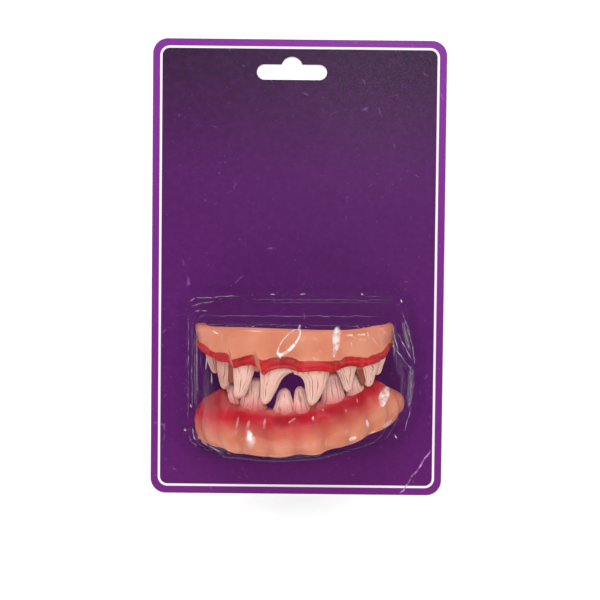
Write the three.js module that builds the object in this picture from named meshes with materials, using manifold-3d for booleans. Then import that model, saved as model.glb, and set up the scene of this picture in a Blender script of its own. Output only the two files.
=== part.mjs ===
// Costume false teeth on their hang card: an upper and a lower plate of soft moulded vinyl, each a hollow
// arch of gum with separate pointed teeth, held on a printed card by a clear thermoformed blister.
// Millimetres, +Z up. The card lies on its back with the origin under its middle, its printed face towards
// +Z and its hang slot towards +Y, so the teeth look up at +Z. Left and right are as seen from the front.
import * as THREE from "three";
import Module from "manifold-3d";

const wasm = await Module();
wasm.setup();

// Card
const CARD = { width: 110, height: 171, thickness: 0.6, cornerRadius: 5.6 };
const HANG_SLOT = { x: -3, y: 73.3, width: 26.4, height: 5.8, humpRise: 2.9, humpRadius: 4.1 };

// Small gaps: between a tooth and its socket, between a plate and the card, and under the blister's flange
const SOCKET_GAP = 0.3;
const CARD_GAP = 0.3;
const SEAL_GAP = 0.05;

// Both plates are arches that stand on the card. The arch line is a superellipse, which is flatter in front
// than an ellipse.
const ARCH_EXPONENT = 2.2;
const ARCH_SECTIONS = 60;
const PLATE_BASE = CARD.thickness + CARD_GAP;

// A plate's heights are measured from its tooth line into the gum, and toothSide says which way its teeth
// point. The gum's base changes towards the arch's ends by the given rise, times the share of the half width
// raised to the power. The hollow for the wearer's own teeth lies between the outer wall and the inner wall.
// Its floor, and the underside behind the teeth, lie at the given heights over the base. The roots of the
// teeth swell the outer face in lobes.
const UPPER = {
  x: -0.2,
  y: -36.5,
  turnDeg: 0.6,
  toothSide: -1,
  halfWidth: 36.5,
  depth: 31,
  base: -2.8,
  baseRise: 8,
  basePower: 4,
  neckSetBack: 0.3,
  wall: 2.4,
  wallMid: 2.4,
  channel: 6,
  innerWall: 2.2,
  innerShare: 0.72,
  behind: 3.4,
  floor: 7.5,
  lobeDepth: 0.35,
  lobePitch: 8.5,
  lobePhase: 0,
};
const LOWER = {
  x: 1.4,
  y: -48.5,
  turnDeg: 5,
  toothSide: 1,
  halfWidth: 39,
  depth: 30.5,
  base: 1.6,
  baseRise: -8,
  basePower: 2,
  neckSetBack: 5.7,
  wall: 5,
  wallMid: 2.8,
  channel: 5.2,
  innerWall: 2.2,
  innerShare: 0.66,
  behind: 1.4,
  floor: 6.4,
  lobeDepth: 0.55,
  lobePitch: 10.4,
  lobePhase: 3,
};
const STEP_BACK = 4.6;
const ROUNDING = 0.8;

// The gum's margin along the teeth: across the arch line, and the height there. It rises over each neck and
// hangs down most beside the left incisor of the upper plate.
const UPPER_MARGIN = [
  [-36.5, 8.4],
  [-33.8, 6.1],
  [-29.6, 4.2],
  [-27.4, 3.1],
  [-23.4, 3.2],
  [-22.2, 0.8],
  [-20.2, 1.9],
  [-16.4, 2.6],
  [-14.4, 2.4],
  [-12.6, 0.2],
  [-11.6, -1.4],
  [-9.9, 0.4],
  [-6.8, 1.4],
  [-3.7, 1.6],
  [-1, 1.1],
  [1.1, 0.1],
  [6.7, 0.6],
  [10.6, 0.4],
  [13.3, -0.1],
  [16.4, 1.6],
  [19, 2.1],
  [23.5, 1.5],
  [28.4, 2.4],
  [32.2, 4.3],
  [33.8, 6.4],
  [36.5, 8.4],
];
const LOWER_MARGIN = [
  [-39, -2.2],
  [-36.5, -4.2],
  [-34, -5.9],
  [-31.9, -6.8],
  [-30.4, -6.6],
  [-28.8, -2.6],
  [-25.3, -1.8],
  [-21.5, -0.9],
  [-17.8, 0.2],
  [-12, 0.9],
  [-5.9, 2.3],
  [-2.9, 1.7],
  [0.1, 2.4],
  [6, 1.5],
  [12.2, 1.4],
  [16.5, 0.2],
  [20.6, -0.6],
  [24.6, -1.4],
  [27, -4.2],
  [29.2, -6],
  [32, -5.8],
  [34.7, -4.6],
  [36.8, -3],
  [39, -2],
];

// The edge of the flange, given in the same way. On the lower plate it waves with the roots and hangs down
// further on the left than on the right.
const UPPER_EDGE = [
  [-36.5, 16],
  [-33, 15.5],
  [-20, 15.8],
  [-6, 15.5],
  [8.6, 15],
  [17.8, 14.8],
  [24.2, 15.2],
  [30.6, 15.9],
  [36.5, 16.1],
];
const LOWER_EDGE = [
  [-39, 12.6],
  [-33.3, 13.8],
  [-30, 14.6],
  [-28, 15.6],
  [-20.1, 16.4],
  [-12.6, 17.4],
  [-8.9, 17.8],
  [-1.5, 17],
  [5.8, 17.9],
  [10.4, 16],
  [17.2, 15.6],
  [21.1, 14.4],
  [25.2, 12.9],
  [31.4, 12],
  [36.1, 9.8],
  [39, 7],
];

// The outer face of each gum: how far it stands outside the arch line at a share of the way from the margin
// to the flange's edge
const UPPER_FACE = [
  { share: 1, out: -1.3 },
  { share: 0.94, out: -0.4 },
  { share: 0.7, out: 0.2 },
  { share: 0.4, out: 0.3 },
  { share: 0.24, out: 0.5 },
  { share: 0.12, out: 1 },
  { share: 0.02, out: 0.7 },
];
const LOWER_FACE = [
  { share: 1, out: -2.2 },
  { share: 0.93, out: -0.9 },
  { share: 0.72, out: 0 },
  { share: 0.45, out: -0.4 },
  { share: 0.25, out: -2 },
  { share: 0.1, out: -4 },
  { share: 0.02, out: -5.2 },
];
const UPPER_GUM = { face: UPPER_FACE, margin: UPPER_MARGIN, edge: UPPER_EDGE };
const LOWER_GUM = { face: LOWER_FACE, margin: LOWER_MARGIN, edge: LOWER_EDGE };

// One row for each tooth: where along X its neck stands, how high the gum's arch over its neck reaches, its
// width and thickness at the neck, its length, how far its tip leans to the right, the width of the tip, and
// the power of its taper, which is over 1 for a full crown and 1 for a straight one
const TOOTH_COLUMNS = ["name", "x", "neck", "width", "thick", "length", "lean", "tip", "taper"];
const toothTable = (rows) =>
  rows.map((row) => Object.fromEntries(TOOTH_COLUMNS.map((column, i) => [column, row[i]])));
const UPPER_TEETH = toothTable([
  ["molar_left", -31.4, 5.8, 8.2, 4, 6.4, 0.4, 4, 1.6],
  ["fang_left", -26.1, 3.8, 6.4, 4.2, 10.8, -0.3, 1.8, 2.4],
  ["canine_left", -18, 3, 9, 4.4, 12.8, -2.1, 3.4, 1.6],
  ["incisor_left", -5.2, 2, 12.8, 4.2, 13.5, -5.6, 2, 0.55],
  ["incisor_right", 6.4, 1, 10.2, 4.2, 12.9, -0.4, 1.8, 1.8],
  ["canine_right", 18, 2.4, 7.8, 4.4, 9.9, 0.2, 1.8, 1.3],
  ["fang_right", 26.4, 2.6, 6, 4.2, 8.8, 0.1, 1.6, 1.7],
  ["molar_right", 32.2, 5.2, 8, 4, 5.2, -0.4, 4, 1.6],
]);
const LOWER_TEETH = toothTable([
  ["fang_left", -25.3, -1.8, 6, 4, 7, 0.6, 1.8, 1.6],
  ["canine_left", -17.8, 0.2, 7, 4.2, 11, 1.8, 2, 1.7],
  ["incisor_left", -5.9, 2.4, 5.6, 3.8, 8.5, 0.4, 2.4, 2],
  ["incisor_right", 0.1, 2.4, 4.8, 3.8, 8.8, 0.2, 2.4, 2],
  ["canine_right", 12.2, 1.4, 7.4, 4.2, 10.4, -0.9, 2, 1.6],
  ["fang_right", 20.6, -0.6, 6.4, 4, 8.8, -0.3, 1.8, 1.6],
]);
const TOOTH_SIDES = 10;
const ROOT_LENGTH = 1.6;
const ROOT_SHARE = 0.7;
// How far each ring of a tooth lies from its neck (0) to its tip (1)
const TOOTH_RINGS = [0, 0.25, 0.5, 0.75, 0.92];

// Blister: the corners of its pocket where it meets the card and where its walls turn into the roof, in
// order round the pocket. Its lower right side runs slantwise along the lower teeth.
const POCKET = [
  { name: "top_left", baseX: -41.9, baseY: -10.8, rimX: -35.2, rimY: -18, radius: 5 },
  { name: "bottom_left", baseX: -42.4, baseY: -67.8, rimX: -36.2, rimY: -67.4, radius: 6 },
  { name: "bottom", baseX: 2, baseY: -70.4, rimX: 2, rimY: -68.4, radius: 30 },
  { name: "bottom_right", baseX: 37.2, baseY: -65, rimX: 29.8, rimY: -62.6, radius: 10 },
  { name: "right_lower", baseX: 44.2, baseY: -50, rimX: 37.2, rimY: -49, radius: 10 },
  { name: "right_upper", baseX: 44.4, baseY: -34, rimX: 37.4, rimY: -36, radius: 20 },
  { name: "top_right", baseX: 39.4, baseY: -10.8, rimX: 33.4, rimY: -18, radius: 5 },
];
const CORNER_STEPS = 5;
const BLISTER_WALL = 0.5;
const FLANGE_WIDTH = 4.5;
const RIM_HEIGHT = 32.6;
const ROOF_HEIGHT = 35.2;
const ROOF_CROWN = 0.6;
// Rings of the pocket from the card to the middle of the roof: the share of the way from base to rim, the
// share of the way from the rim's height up to the roof's, and how far the ring is drawn in from the rim
const POCKET_RINGS = [
  { climb: 0, over: 0, drawnIn: 0 },
  { climb: 0.5, over: 0, drawnIn: 0 },
  { climb: 1, over: 0, drawnIn: 0 },
  { climb: 1, over: 0.65, drawnIn: 1 },
  { climb: 1, over: 1, drawnIn: 3.4 },
  { climb: 1, over: 1.1, drawnIn: 14 },
];

const material = (color, roughness, opacity = 1) =>
  new THREE.MeshStandardMaterial({
    color: new THREE.Color(...color),
    roughness,
    metalness: 0,
    opacity,
    transparent: opacity < 1,
  });
const CARD_PRINT = material([0.09, 0.01, 0.1], 0.35);
const CLEAR_SHEET = material([0.95, 0.95, 0.97], 0.05, 0.2);
const GUM_VINYL = material([0.68, 0.27, 0.17], 0.35);
const UPPER_ENAMEL = material([0.8, 0.56, 0.44], 0.4);
const LOWER_ENAMEL = material([0.78, 0.48, 0.41], 0.4);

// The line that a plate's outer face follows, seen along Y: it leaves the card at one end, comes forward
// round the front and goes back to the card at the other.
class ArchCurve extends THREE.Curve {
  constructor(plate) {
    super();
    this.plate = plate;
  }

  getPoint(t) {
    const angle = (t - 0.5) * Math.PI;
    const power = 2 / ARCH_EXPONENT;
    const across = Math.sign(angle) * Math.abs(Math.sin(angle)) ** power;
    const forward = Math.max(Math.cos(angle), 0) ** power;
    return new THREE.Vector3(this.plate.halfWidth * across, 0, this.plate.depth * forward);
  }
}

// A frame on the arch at a share of its length: the point, the way along it and the way out of it.
function archFrame(arch, share) {
  const point = arch.getPointAt(share);
  const along = arch.getTangentAt(share);
  const out = new THREE.Vector3(-along.z, 0, along.x);
  return { point, along, out };
}

// How far out of the arch line the middle of a tooth stands.
const toothOut = (plate, tooth) => -plate.neckSetBack - tooth.thick / 2;

// The share of the arch's length at which a tooth's middle passes its X, found by halving.
function toothShare(plate, arch, tooth) {
  let low = 0;
  let high = 1;
  for (let step = 0; step < 40; step++) {
    const middle = (low + high) / 2;
    const frame = archFrame(arch, middle);
    if (platePoint(plate, frame, toothOut(plate, tooth), 0).x < tooth.x) low = middle;
    else high = middle;
  }
  return (low + high) / 2;
}

// A point of a plate: out of the arch line and up from the tooth line into the gum.
function platePoint(plate, frame, out, height) {
  const point = frame.point.clone().addScaledVector(frame.out, out);
  point.y -= plate.toothSide * height;
  return point;
}

// Skins closed rings of equal length in order and closes both ends with the given triangles.
function loft(rings, cap) {
  const sides = rings[0].length;
  const last = (rings.length - 1) * sides;
  const index = [];
  for (let ring = 0; ring < last; ring += sides)
    for (let side = 0; side < sides; side++) {
      const here = ring + side;
      const next = ring + ((side + 1) % sides);
      index.push(here, next, next + sides, here, next + sides, here + sides);
    }
  for (const [a, b, c] of cap) index.push(c, b, a, last + a, last + b, last + c);
  return facingOut(rings.flat(), index);
}

// A geometry from points and triangles, turned round if its faces point inwards.
function facingOut(points, index) {
  let volume = 0;
  for (let i = 0; i < index.length; i += 3) {
    const [a, b, c] = [points[index[i]], points[index[i + 1]], points[index[i + 2]]];
    volume += a.dot(b.clone().cross(c));
  }
  if (volume < 0)
    for (let i = 0; i < index.length; i += 3) [index[i], index[i + 1]] = [index[i + 1], index[i]];
  return new THREE.BufferGeometry().setFromPoints(points).setIndex(index);
}

const fan = (sides) => Array.from({ length: sides - 2 }, (_, i) => [0, i + 1, i + 2]);

function toSolid(geometry) {
  const vertProperties = new Float32Array(geometry.getAttribute("position").array);
  const triVerts = new Uint32Array(geometry.getIndex().array);
  return new wasm.Manifold(new wasm.Mesh({ numProp: 3, vertProperties, triVerts }));
}

function toGeometry(solid) {
  const { numProp, vertProperties, triVerts } = solid.getMesh();
  return new THREE.BufferGeometry()
    .setAttribute("position", new THREE.BufferAttribute(vertProperties, numProp))
    .setIndex(new THREE.BufferAttribute(triVerts, 1));
}

// The height that a table gives at a distance across the arch line.
function tableHeight(table, across) {
  const next = Math.max(table.findIndex(([x]) => x >= across), 1);
  const [[fromX, from], [toX, to]] = [table[next - 1], table[next]];
  return THREE.MathUtils.mapLinear(across, fromX, toX, from, to);
}

// The heights of the gum's base, margin and edge at a share of the arch, and the swelling of its lobes there.
function gumHeights(plate, gum, arch, share) {
  const across = arch.getPointAt(share).x;
  const reach = Math.abs(across) / plate.halfWidth;
  const base = plate.base + plate.baseRise * reach ** plate.basePower;
  const travelled = arch.getLength() * (share - 0.5) - plate.lobePhase;
  const lobe = Math.cos((2 * Math.PI * travelled) / plate.lobePitch);
  return { base, lobe, margin: tableHeight(gum.margin, across), edge: tableHeight(gum.edge, across) };
}

// The section of a gum at a share of its arch, as [out, height] pairs. They are written down the outer face
// from the flange's edge to the margin, in under the teeth, up the inner wall and round the hollow between
// the walls, and given back the other way round, which is anticlockwise.
function gumSection(plate, gum, arch, share) {
  const { face } = gum;
  const { base, lobe, margin, edge } = gumHeights(plate, gum, arch, share);
  const outer = face.map(({ share: up, out }) => [
    out + 4 * plate.lobeDepth * lobe * up * (1 - up),
    margin + (edge - margin) * up,
  ]);
  const inner = -(plate.wall + plate.channel);
  const back = inner - plate.innerWall;
  const step = -(plate.neckSetBack + STEP_BACK);
  const behind = base + plate.behind;
  const floor = base + plate.floor;
  const innerTop = base + (edge - base) * plate.innerShare;
  const edgeOut = face[0].out;
  return [
    ...outer,
    [face.at(-1).out - ROUNDING, margin],
    [step, margin],
    [step - ROUNDING, behind],
    [back + ROUNDING, behind],
    [back, behind + ROUNDING],
    [back, innerTop - ROUNDING],
    [back + ROUNDING, innerTop],
    [inner - ROUNDING / 2, innerTop],
    [inner, innerTop - ROUNDING],
    [inner, floor + ROUNDING],
    [inner + ROUNDING, floor],
    [-plate.wall - ROUNDING, floor],
    [-plate.wall, floor + ROUNDING],
    [-plate.wallMid, (floor + edge) / 2],
    [edgeOut - 2 * ROUNDING, edge - ROUNDING],
    [edgeOut - ROUNDING, edge],
  ].reverse();
}

// A tooth on its plate's arch, grown by a gap for the socket that holds it.
function toothGeometry(plate, arch, tooth, gap) {
  const frame = archFrame(arch, toothShare(plate, arch, tooth));
  const middle = toothOut(plate, tooth);
  const ring = (height, lean, width, thick) =>
    Array.from({ length: TOOTH_SIDES }, (_, side) => {
      const turn = (2 * Math.PI * side) / TOOTH_SIDES;
      const across = lean + (width / 2 + gap) * Math.cos(turn);
      const out = middle + (thick / 2 + gap) * Math.sin(turn);
      return platePoint(plate, frame, out, height).addScaledVector(frame.along, across);
    });
  const rootRing = ring(
    tooth.neck + ROOT_LENGTH + gap,
    0,
    tooth.width * ROOT_SHARE,
    tooth.thick * ROOT_SHARE,
  );
  const crownRings = TOOTH_RINGS.map((down) => {
    const taper = down ** tooth.taper;
    const width = tooth.width + (tooth.tip - tooth.width) * taper;
    const thick = tooth.thick + (Math.min(tooth.tip, tooth.thick) - tooth.thick) * taper;
    return ring(tooth.neck - tooth.length * down, tooth.lean * taper, width, thick);
  });
  const tipShare = 0.5;
  const tipRing = ring(
    tooth.neck - tooth.length - gap,
    tooth.lean,
    tooth.tip * tipShare,
    Math.min(tooth.tip, tooth.thick) * tipShare,
  );
  return loft([rootRing, ...crownRings, tipRing], fan(TOOTH_SIDES));
}

// A gum: its section carried along the arch, with a socket cut for each tooth.
function gumGeometry(plate, gum, arch, teeth) {
  const shares = Array.from({ length: ARCH_SECTIONS + 1 }, (_, i) => i / ARCH_SECTIONS);
  const sections = shares.map((share) => gumSection(plate, gum, arch, share));
  const rings = sections.map((section, i) => {
    const frame = archFrame(arch, shares[i]);
    return section.map(([out, height]) => platePoint(plate, frame, out, height));
  });
  const outline = sections[0].map(([out, height]) => new THREE.Vector2(out, height));
  const cap = THREE.ShapeUtils.triangulateShape(outline, []);
  const whole = toSolid(loft(rings, cap));
  const sockets = teeth.map((tooth) => toSolid(toothGeometry(plate, arch, tooth, SOCKET_GAP)));
  return toGeometry(sockets.reduce((solid, socket) => solid.subtract(socket), whole));
}

function namedMesh(name, geometry, finish) {
  const mesh = new THREE.Mesh(geometry, finish);
  mesh.name = name;
  return mesh;
}

// One plate: a group at its place on the card, with its gum and its teeth.
function makePlate(name, plate, gum, teeth, enamel) {
  const arch = new ArchCurve(plate);
  arch.arcLengthDivisions = 800;
  const group = new THREE.Group();
  group.position.set(plate.x, plate.y, PLATE_BASE);
  group.rotation.z = THREE.MathUtils.degToRad(plate.turnDeg);
  group.add(namedMesh(`${name}_gum`, gumGeometry(plate, gum, arch, teeth), GUM_VINYL));
  for (const tooth of teeth)
    group.add(namedMesh(`${name}_${tooth.name}`, toothGeometry(plate, arch, tooth, 0), enamel));
  return group;
}

// The card: a rounded rectangle with a slot, humped in the middle, that hangs on a peg.
function makeCard() {
  const { width, height, thickness, cornerRadius: r } = CARD;
  const right = width / 2;
  const top = height / 2;
  const shape = new THREE.Shape();
  shape.absarc(right - r, top - r, r, 0, Math.PI / 2);
  shape.absarc(r - right, top - r, r, Math.PI / 2, Math.PI);
  shape.absarc(r - right, r - top, r, Math.PI, 1.5 * Math.PI);
  shape.absarc(right - r, r - top, r, 1.5 * Math.PI, 2 * Math.PI);
  const { x, y, width: slotWidth, height: slotHeight, humpRise, humpRadius } = HANG_SLOT;
  const end = slotHeight / 2;
  const reach = slotWidth / 2 - end;
  const humpSunk = humpRadius - humpRise;
  const humpFoot = Math.asin(humpSunk / humpRadius);
  const slot = new THREE.Path();
  slot.absarc(x + reach, y, end, -Math.PI / 2, Math.PI / 2);
  slot.absarc(x, y + end - humpSunk, humpRadius, humpFoot, Math.PI - humpFoot);
  slot.absarc(x - reach, y, end, Math.PI / 2, 1.5 * Math.PI);
  shape.holes.push(slot);
  const options = { depth: thickness, bevelEnabled: false, curveSegments: 6 };
  return namedMesh("card", new THREE.ExtrudeGeometry(shape, options), CARD_PRINT);
}

// The pocket's outline at a share of the way from base to rim, drawn in by a distance, as points with round
// corners.
function pocketOutline(climb, drawnIn) {
  const mix = (from, to) => from + (to - from) * climb;
  const corners = POCKET.map((c) => new THREE.Vector2(mix(c.baseX, c.rimX), mix(c.baseY, c.rimY)));
  const count = corners.length;
  return corners.flatMap((corner, i) => {
    const before = corner.clone().sub(corners[(i + count - 1) % count]).normalize();
    const after = corners[(i + 1) % count].clone().sub(corner).normalize();
    const turn = Math.atan2(before.cross(after), before.dot(after));
    const radius = Math.max(POCKET[i].radius - drawnIn, 0.6);
    const inward = (drawnIn + radius) / Math.cos(turn / 2);
    const bisector = after.clone().sub(before).normalize();
    const centre = corner.clone().addScaledVector(bisector, inward);
    const start = Math.atan2(-before.x, before.y);
    return Array.from({ length: CORNER_STEPS + 1 }, (_, step) => {
      const angle = start + (turn * step) / CORNER_STEPS;
      return new THREE.Vector2(Math.cos(angle), Math.sin(angle)).multiplyScalar(radius).add(centre);
    });
  });
}

// The blister: a flange sealed to the card, drafted walls and a low roof, as one thin wall open to the card.
function makeBlister() {
  const base = CARD.thickness + SEAL_GAP;
  const raise = (outline, z) => outline.map((p) => new THREE.Vector3(p.x, p.y, z));
  const skin = (wall) =>
    POCKET_RINGS.map(({ climb, over, drawnIn }) => {
      const rim = base + RIM_HEIGHT * climb;
      const z = rim + (ROOF_HEIGHT - RIM_HEIGHT) * over - wall * over;
      return raise(pocketOutline(climb, drawnIn + wall), z);
    });
  const outerSkin = skin(0);
  outerSkin[0].forEach((p) => (p.z = base + BLISTER_WALL));
  const flangeTop = raise(pocketOutline(0, -FLANGE_WIDTH), base + BLISTER_WALL);
  const flangeFoot = raise(pocketOutline(0, -FLANGE_WIDTH), base);
  const rings = [...skin(BLISTER_WALL).reverse(), flangeFoot, flangeTop, ...outerSkin];
  const sides = rings[0].length;
  const points = rings.flat();
  const index = [];
  for (let ring = 0; ring + 1 < rings.length; ring++)
    for (let side = 0; side < sides; side++) {
      const here = ring * sides + side;
      const next = ring * sides + ((side + 1) % sides);
      index.push(here, next, next + sides, here, next + sides, here + sides);
    }
  const middle = new THREE.Box3().setFromPoints(rings[0]).getCenter(new THREE.Vector3());
  const crown = base + ROOF_HEIGHT + ROOF_CROWN;
  for (const [ring, z, flip] of [
    [0, crown - BLISTER_WALL, true],
    [rings.length - 1, crown, false],
  ]) {
    const hub = points.push(new THREE.Vector3(middle.x, middle.y, z)) - 1;
    for (let side = 0; side < sides; side++) {
      const edge = [ring * sides + side, ring * sides + ((side + 1) % sides)];
      index.push(...(flip ? edge.reverse() : edge), hub);
    }
  }
  return namedMesh("blister", facingOut(points, index), CLEAR_SHEET);
}

const falseTeeth = new THREE.Group();
falseTeeth.add(
  makeCard(),
  makeBlister(),
  makePlate("upper", UPPER, UPPER_GUM, UPPER_TEETH, UPPER_ENAMEL),
  makePlate("lower", LOWER, LOWER_GUM, LOWER_TEETH, LOWER_ENAMEL),
);

export default falseTeeth;
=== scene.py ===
import math

import bpy
import numpy as np
from mathutils import Matrix, Vector, noise
from mathutils.bvhtree import BVHTree


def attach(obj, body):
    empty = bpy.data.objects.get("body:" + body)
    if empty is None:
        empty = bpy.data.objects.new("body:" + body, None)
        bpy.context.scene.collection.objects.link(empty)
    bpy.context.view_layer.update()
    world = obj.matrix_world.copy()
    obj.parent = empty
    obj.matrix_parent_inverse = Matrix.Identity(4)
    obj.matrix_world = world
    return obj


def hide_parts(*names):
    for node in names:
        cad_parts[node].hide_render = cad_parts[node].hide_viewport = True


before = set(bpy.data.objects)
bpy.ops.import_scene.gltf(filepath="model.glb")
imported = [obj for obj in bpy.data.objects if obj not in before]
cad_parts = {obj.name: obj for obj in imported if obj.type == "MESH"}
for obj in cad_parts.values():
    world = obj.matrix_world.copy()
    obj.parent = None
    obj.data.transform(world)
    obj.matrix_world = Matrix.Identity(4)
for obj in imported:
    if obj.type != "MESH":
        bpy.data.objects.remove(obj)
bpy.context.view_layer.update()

# Hang card
# One sheet of coated white board, printed purple on its face and bare behind, die cut with round
# corners and a humped slot for a shop peg. It lies on its back and carries everything else.
MM = 0.001
CARD_WIDTH, CARD_HEIGHT, CARD_THICK = 110.0, 171.0, 0.6
CARD_CORNER = 5.6
CARD_EDGE = 0.06
SLOT_X, SLOT_Y, SLOT_WIDTH, SLOT_HEIGHT = -3.0, 73.3, 26.4, 5.8
HUMP_RISE, HUMP_RADIUS = 2.9, 4.1
LINE_INSET, LINE_CORNER, HALF_LINE = 3.1, 3.2, 0.425
INK_SPREAD, LINE_SPREAD = 0.05, 0.06
CORNER_STEPS, HUMP_STEPS = 14, 16


def srgb(red, green, blue):
    """A colour as a screen shows it, in steps of 255, as the linear colour that a shader takes."""
    parts = [c / 255 for c in (red, green, blue)]
    linear = [c / 12.92 if c <= 0.04045 else ((c + 0.055) / 1.055) ** 2.4 for c in parts]
    return (*linear, 1.0)


def arc(x, y, radius, start, end, steps):
    """Points of an arc between two angles in degrees."""
    turns = np.radians(np.linspace(start, end, steps))
    return [(x + radius * math.cos(a), y + radius * math.sin(a)) for a in turns]


def mesh_object(name, mesh, smooth=True):
    """Puts a mesh into the scene as an object at the origin."""
    mesh.name = name
    if smooth:
        mesh.shade_smooth()
    piece = bpy.data.objects.new(name, mesh)
    bpy.context.collection.objects.link(piece)
    return piece


def plain_mesh(draft):
    """The mesh that a draft object's curve or modifiers come to, in place of the draft."""
    result = draft.evaluated_get(bpy.context.evaluated_depsgraph_get())
    mesh = bpy.data.meshes.new_from_object(result)
    bpy.data.objects.remove(draft)
    return mesh


def finished(piece, body, node, finish):
    """Gives a piece its finish, hangs it on its body and hides the part of the model that it stands
    in for.
    """
    piece.data.materials.clear()
    piece.data.materials.append(finish)
    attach(piece, body)
    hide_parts(node)


class Tree:
    """Short ways to add nodes to a shader or geometry tree, with values or sockets as inputs."""

    def __init__(self, tree):
        self.tree = tree

    def put(self, socket, value):
        if isinstance(value, bpy.types.NodeSocket):
            self.tree.links.new(value, socket)
        elif value is not None:
            socket.default_value = value

    def feed(self, made, inputs):
        for key, value in inputs.items():
            self.put(made.inputs[key], value)
        return made

    def node(self, kind, inputs=None, **settings):
        made = self.tree.nodes.new(kind)
        for key, value in settings.items():
            setattr(made, key, value)
        return self.feed(made, inputs or {})

    def math(self, operation, *values, clamp=False):
        made = self.node("ShaderNodeMath", operation=operation, use_clamp=clamp)
        return self.feed(made, dict(enumerate(values))).outputs[0]

    def plus(self, first, second, clamp=False):
        return self.math("ADD", first, second, clamp=clamp)

    def minus(self, first, second):
        return self.math("SUBTRACT", first, second)

    def times(self, first, second, clamp=False):
        return self.math("MULTIPLY", first, second, clamp=clamp)

    def vector(self, operation, *values, out="Vector"):
        made = self.node("ShaderNodeVectorMath", operation=operation)
        return self.feed(made, dict(enumerate(values))).outputs[out]

    def axes(self, vector):
        return self.node("ShaderNodeSeparateXYZ", {"Vector": vector}).outputs

    def joined(self, x, y, z=0.0):
        return self.node("ShaderNodeCombineXYZ", {"X": x, "Y": y, "Z": z}).outputs["Vector"]

    def between(self, value, low, high, to_low=0.0, to_high=1.0, smooth=True):
        """Takes a value from one range to another, with soft ends."""
        made = self.node(
            "ShaderNodeMapRange",
            {"Value": value, "From Min": low, "From Max": high},
            interpolation_type="SMOOTHSTEP" if smooth else "LINEAR",
        )
        return self.feed(made, {"To Min": to_low, "To Max": to_high}).outputs["Result"]

    def mix(self, share, under, over):
        """Lays one colour over another by a share."""
        made = self.node("ShaderNodeMix", data_type="RGBA", clamp_factor=True)
        return self.feed(made, {0: share, 6: under, 7: over}).outputs[2]

    def noise(self, place, scale, detail=3.0, rough=0.55):
        made = self.node(
            "ShaderNodeTexNoise",
            {"Vector": place, "Scale": scale, "Detail": detail, "Roughness": rough},
        )
        return made.outputs["Fac"]

    def ramp(self, value, stops):
        made = self.node("ShaderNodeValToRGB", {"Fac": value})
        colours = made.color_ramp.elements
        while len(colours) < len(stops):
            colours.new(0.5)
        for element, (place, colour) in zip(colours, stops):
            element.position = place
            element.color = colour
        return made.outputs["Color"]

    def attribute(self, name):
        return self.node("ShaderNodeAttribute", attribute_name=name).outputs["Fac"]

    def bump(self, height, strength, depth, under=None):
        """The relief of a height, laid on the relief under it."""
        made = self.node("ShaderNodeBump", {"Strength": strength, "Distance": depth})
        return self.feed(made, {"Height": height, "Normal": under}).outputs["Normal"]


def new_finish(name):
    """A material with its tree, its Principled shader and where its surface is in metres."""
    made = bpy.data.materials.new(name)
    made.use_nodes = True
    tree = Tree(made.node_tree)
    shader = made.node_tree.nodes["Principled BSDF"]
    place = tree.node("ShaderNodeTexCoord").outputs["Object"]
    return made, tree, shader, place


def outside_frame(tree, place, half_width, half_height, corner):
    """How far a point lies outside a rectangle with round corners, in metres."""
    parts = tree.axes(tree.vector("ABSOLUTE", place))
    across = tree.minus(parts["X"], half_width - corner)
    along = tree.minus(parts["Y"], half_height - corner)
    past = tree.joined(tree.math("MAXIMUM", across, 0.0), tree.math("MAXIMUM", along, 0.0))
    inside = tree.math("MINIMUM", tree.math("MAXIMUM", across, along), 0.0)
    return tree.minus(tree.plus(tree.vector("LENGTH", past, out="Value"), inside), corner)


def scuff_marks(tree, place, scale, amount):
    """Fine scratches and rubbed specks: thin bent lines and dots, as a mask."""
    bend = tree.node("ShaderNodeTexNoise", {"Vector": place, "Scale": scale, "Detail": 2.0})
    bent = tree.vector("MULTIPLY_ADD", bend.outputs["Color"], (0.02, 0.02, 0.0), place)
    cells = tree.node("ShaderNodeTexVoronoi", feature="DISTANCE_TO_EDGE")
    edge = tree.feed(cells, {"Vector": bent, "Scale": scale}).outputs["Distance"]
    line = tree.between(edge, 0.0, 0.012, 1.0, 0.0)
    broken = tree.between(tree.noise(place, 210.0, 4.0), 0.56, 0.7)
    specks = tree.between(tree.noise(place, 900.0, 2.0), 0.7, 0.76)
    marks = tree.plus(tree.times(line, broken), tree.times(specks, 0.5), clamp=True)
    return tree.times(marks, amount)


def card_outlines():
    """The card's outline and its slot, each as a closed loop of points in millimetres."""
    inset = CARD_CORNER + CARD_EDGE
    right, top = CARD_WIDTH / 2 - inset, CARD_HEIGHT / 2 - inset
    corners = [(right, top, 0), (-right, top, 90), (-right, -top, 180), (right, -top, 270)]
    outline = []
    for x, y, turn in corners:
        outline += arc(x, y, CARD_CORNER, turn, turn + 90, CORNER_STEPS)
    end = SLOT_HEIGHT / 2
    reach = SLOT_WIDTH / 2 - end
    sunk = HUMP_RADIUS - HUMP_RISE
    foot = math.degrees(math.asin(sunk / HUMP_RADIUS))
    slot = arc(SLOT_X + reach, SLOT_Y, end, -90, 90, CORNER_STEPS)
    slot += arc(SLOT_X, SLOT_Y + end - sunk, HUMP_RADIUS, foot, 180 - foot, HUMP_STEPS)
    slot += arc(SLOT_X - reach, SLOT_Y, end, 90, 270, CORNER_STEPS)
    return outline, slot


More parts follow.
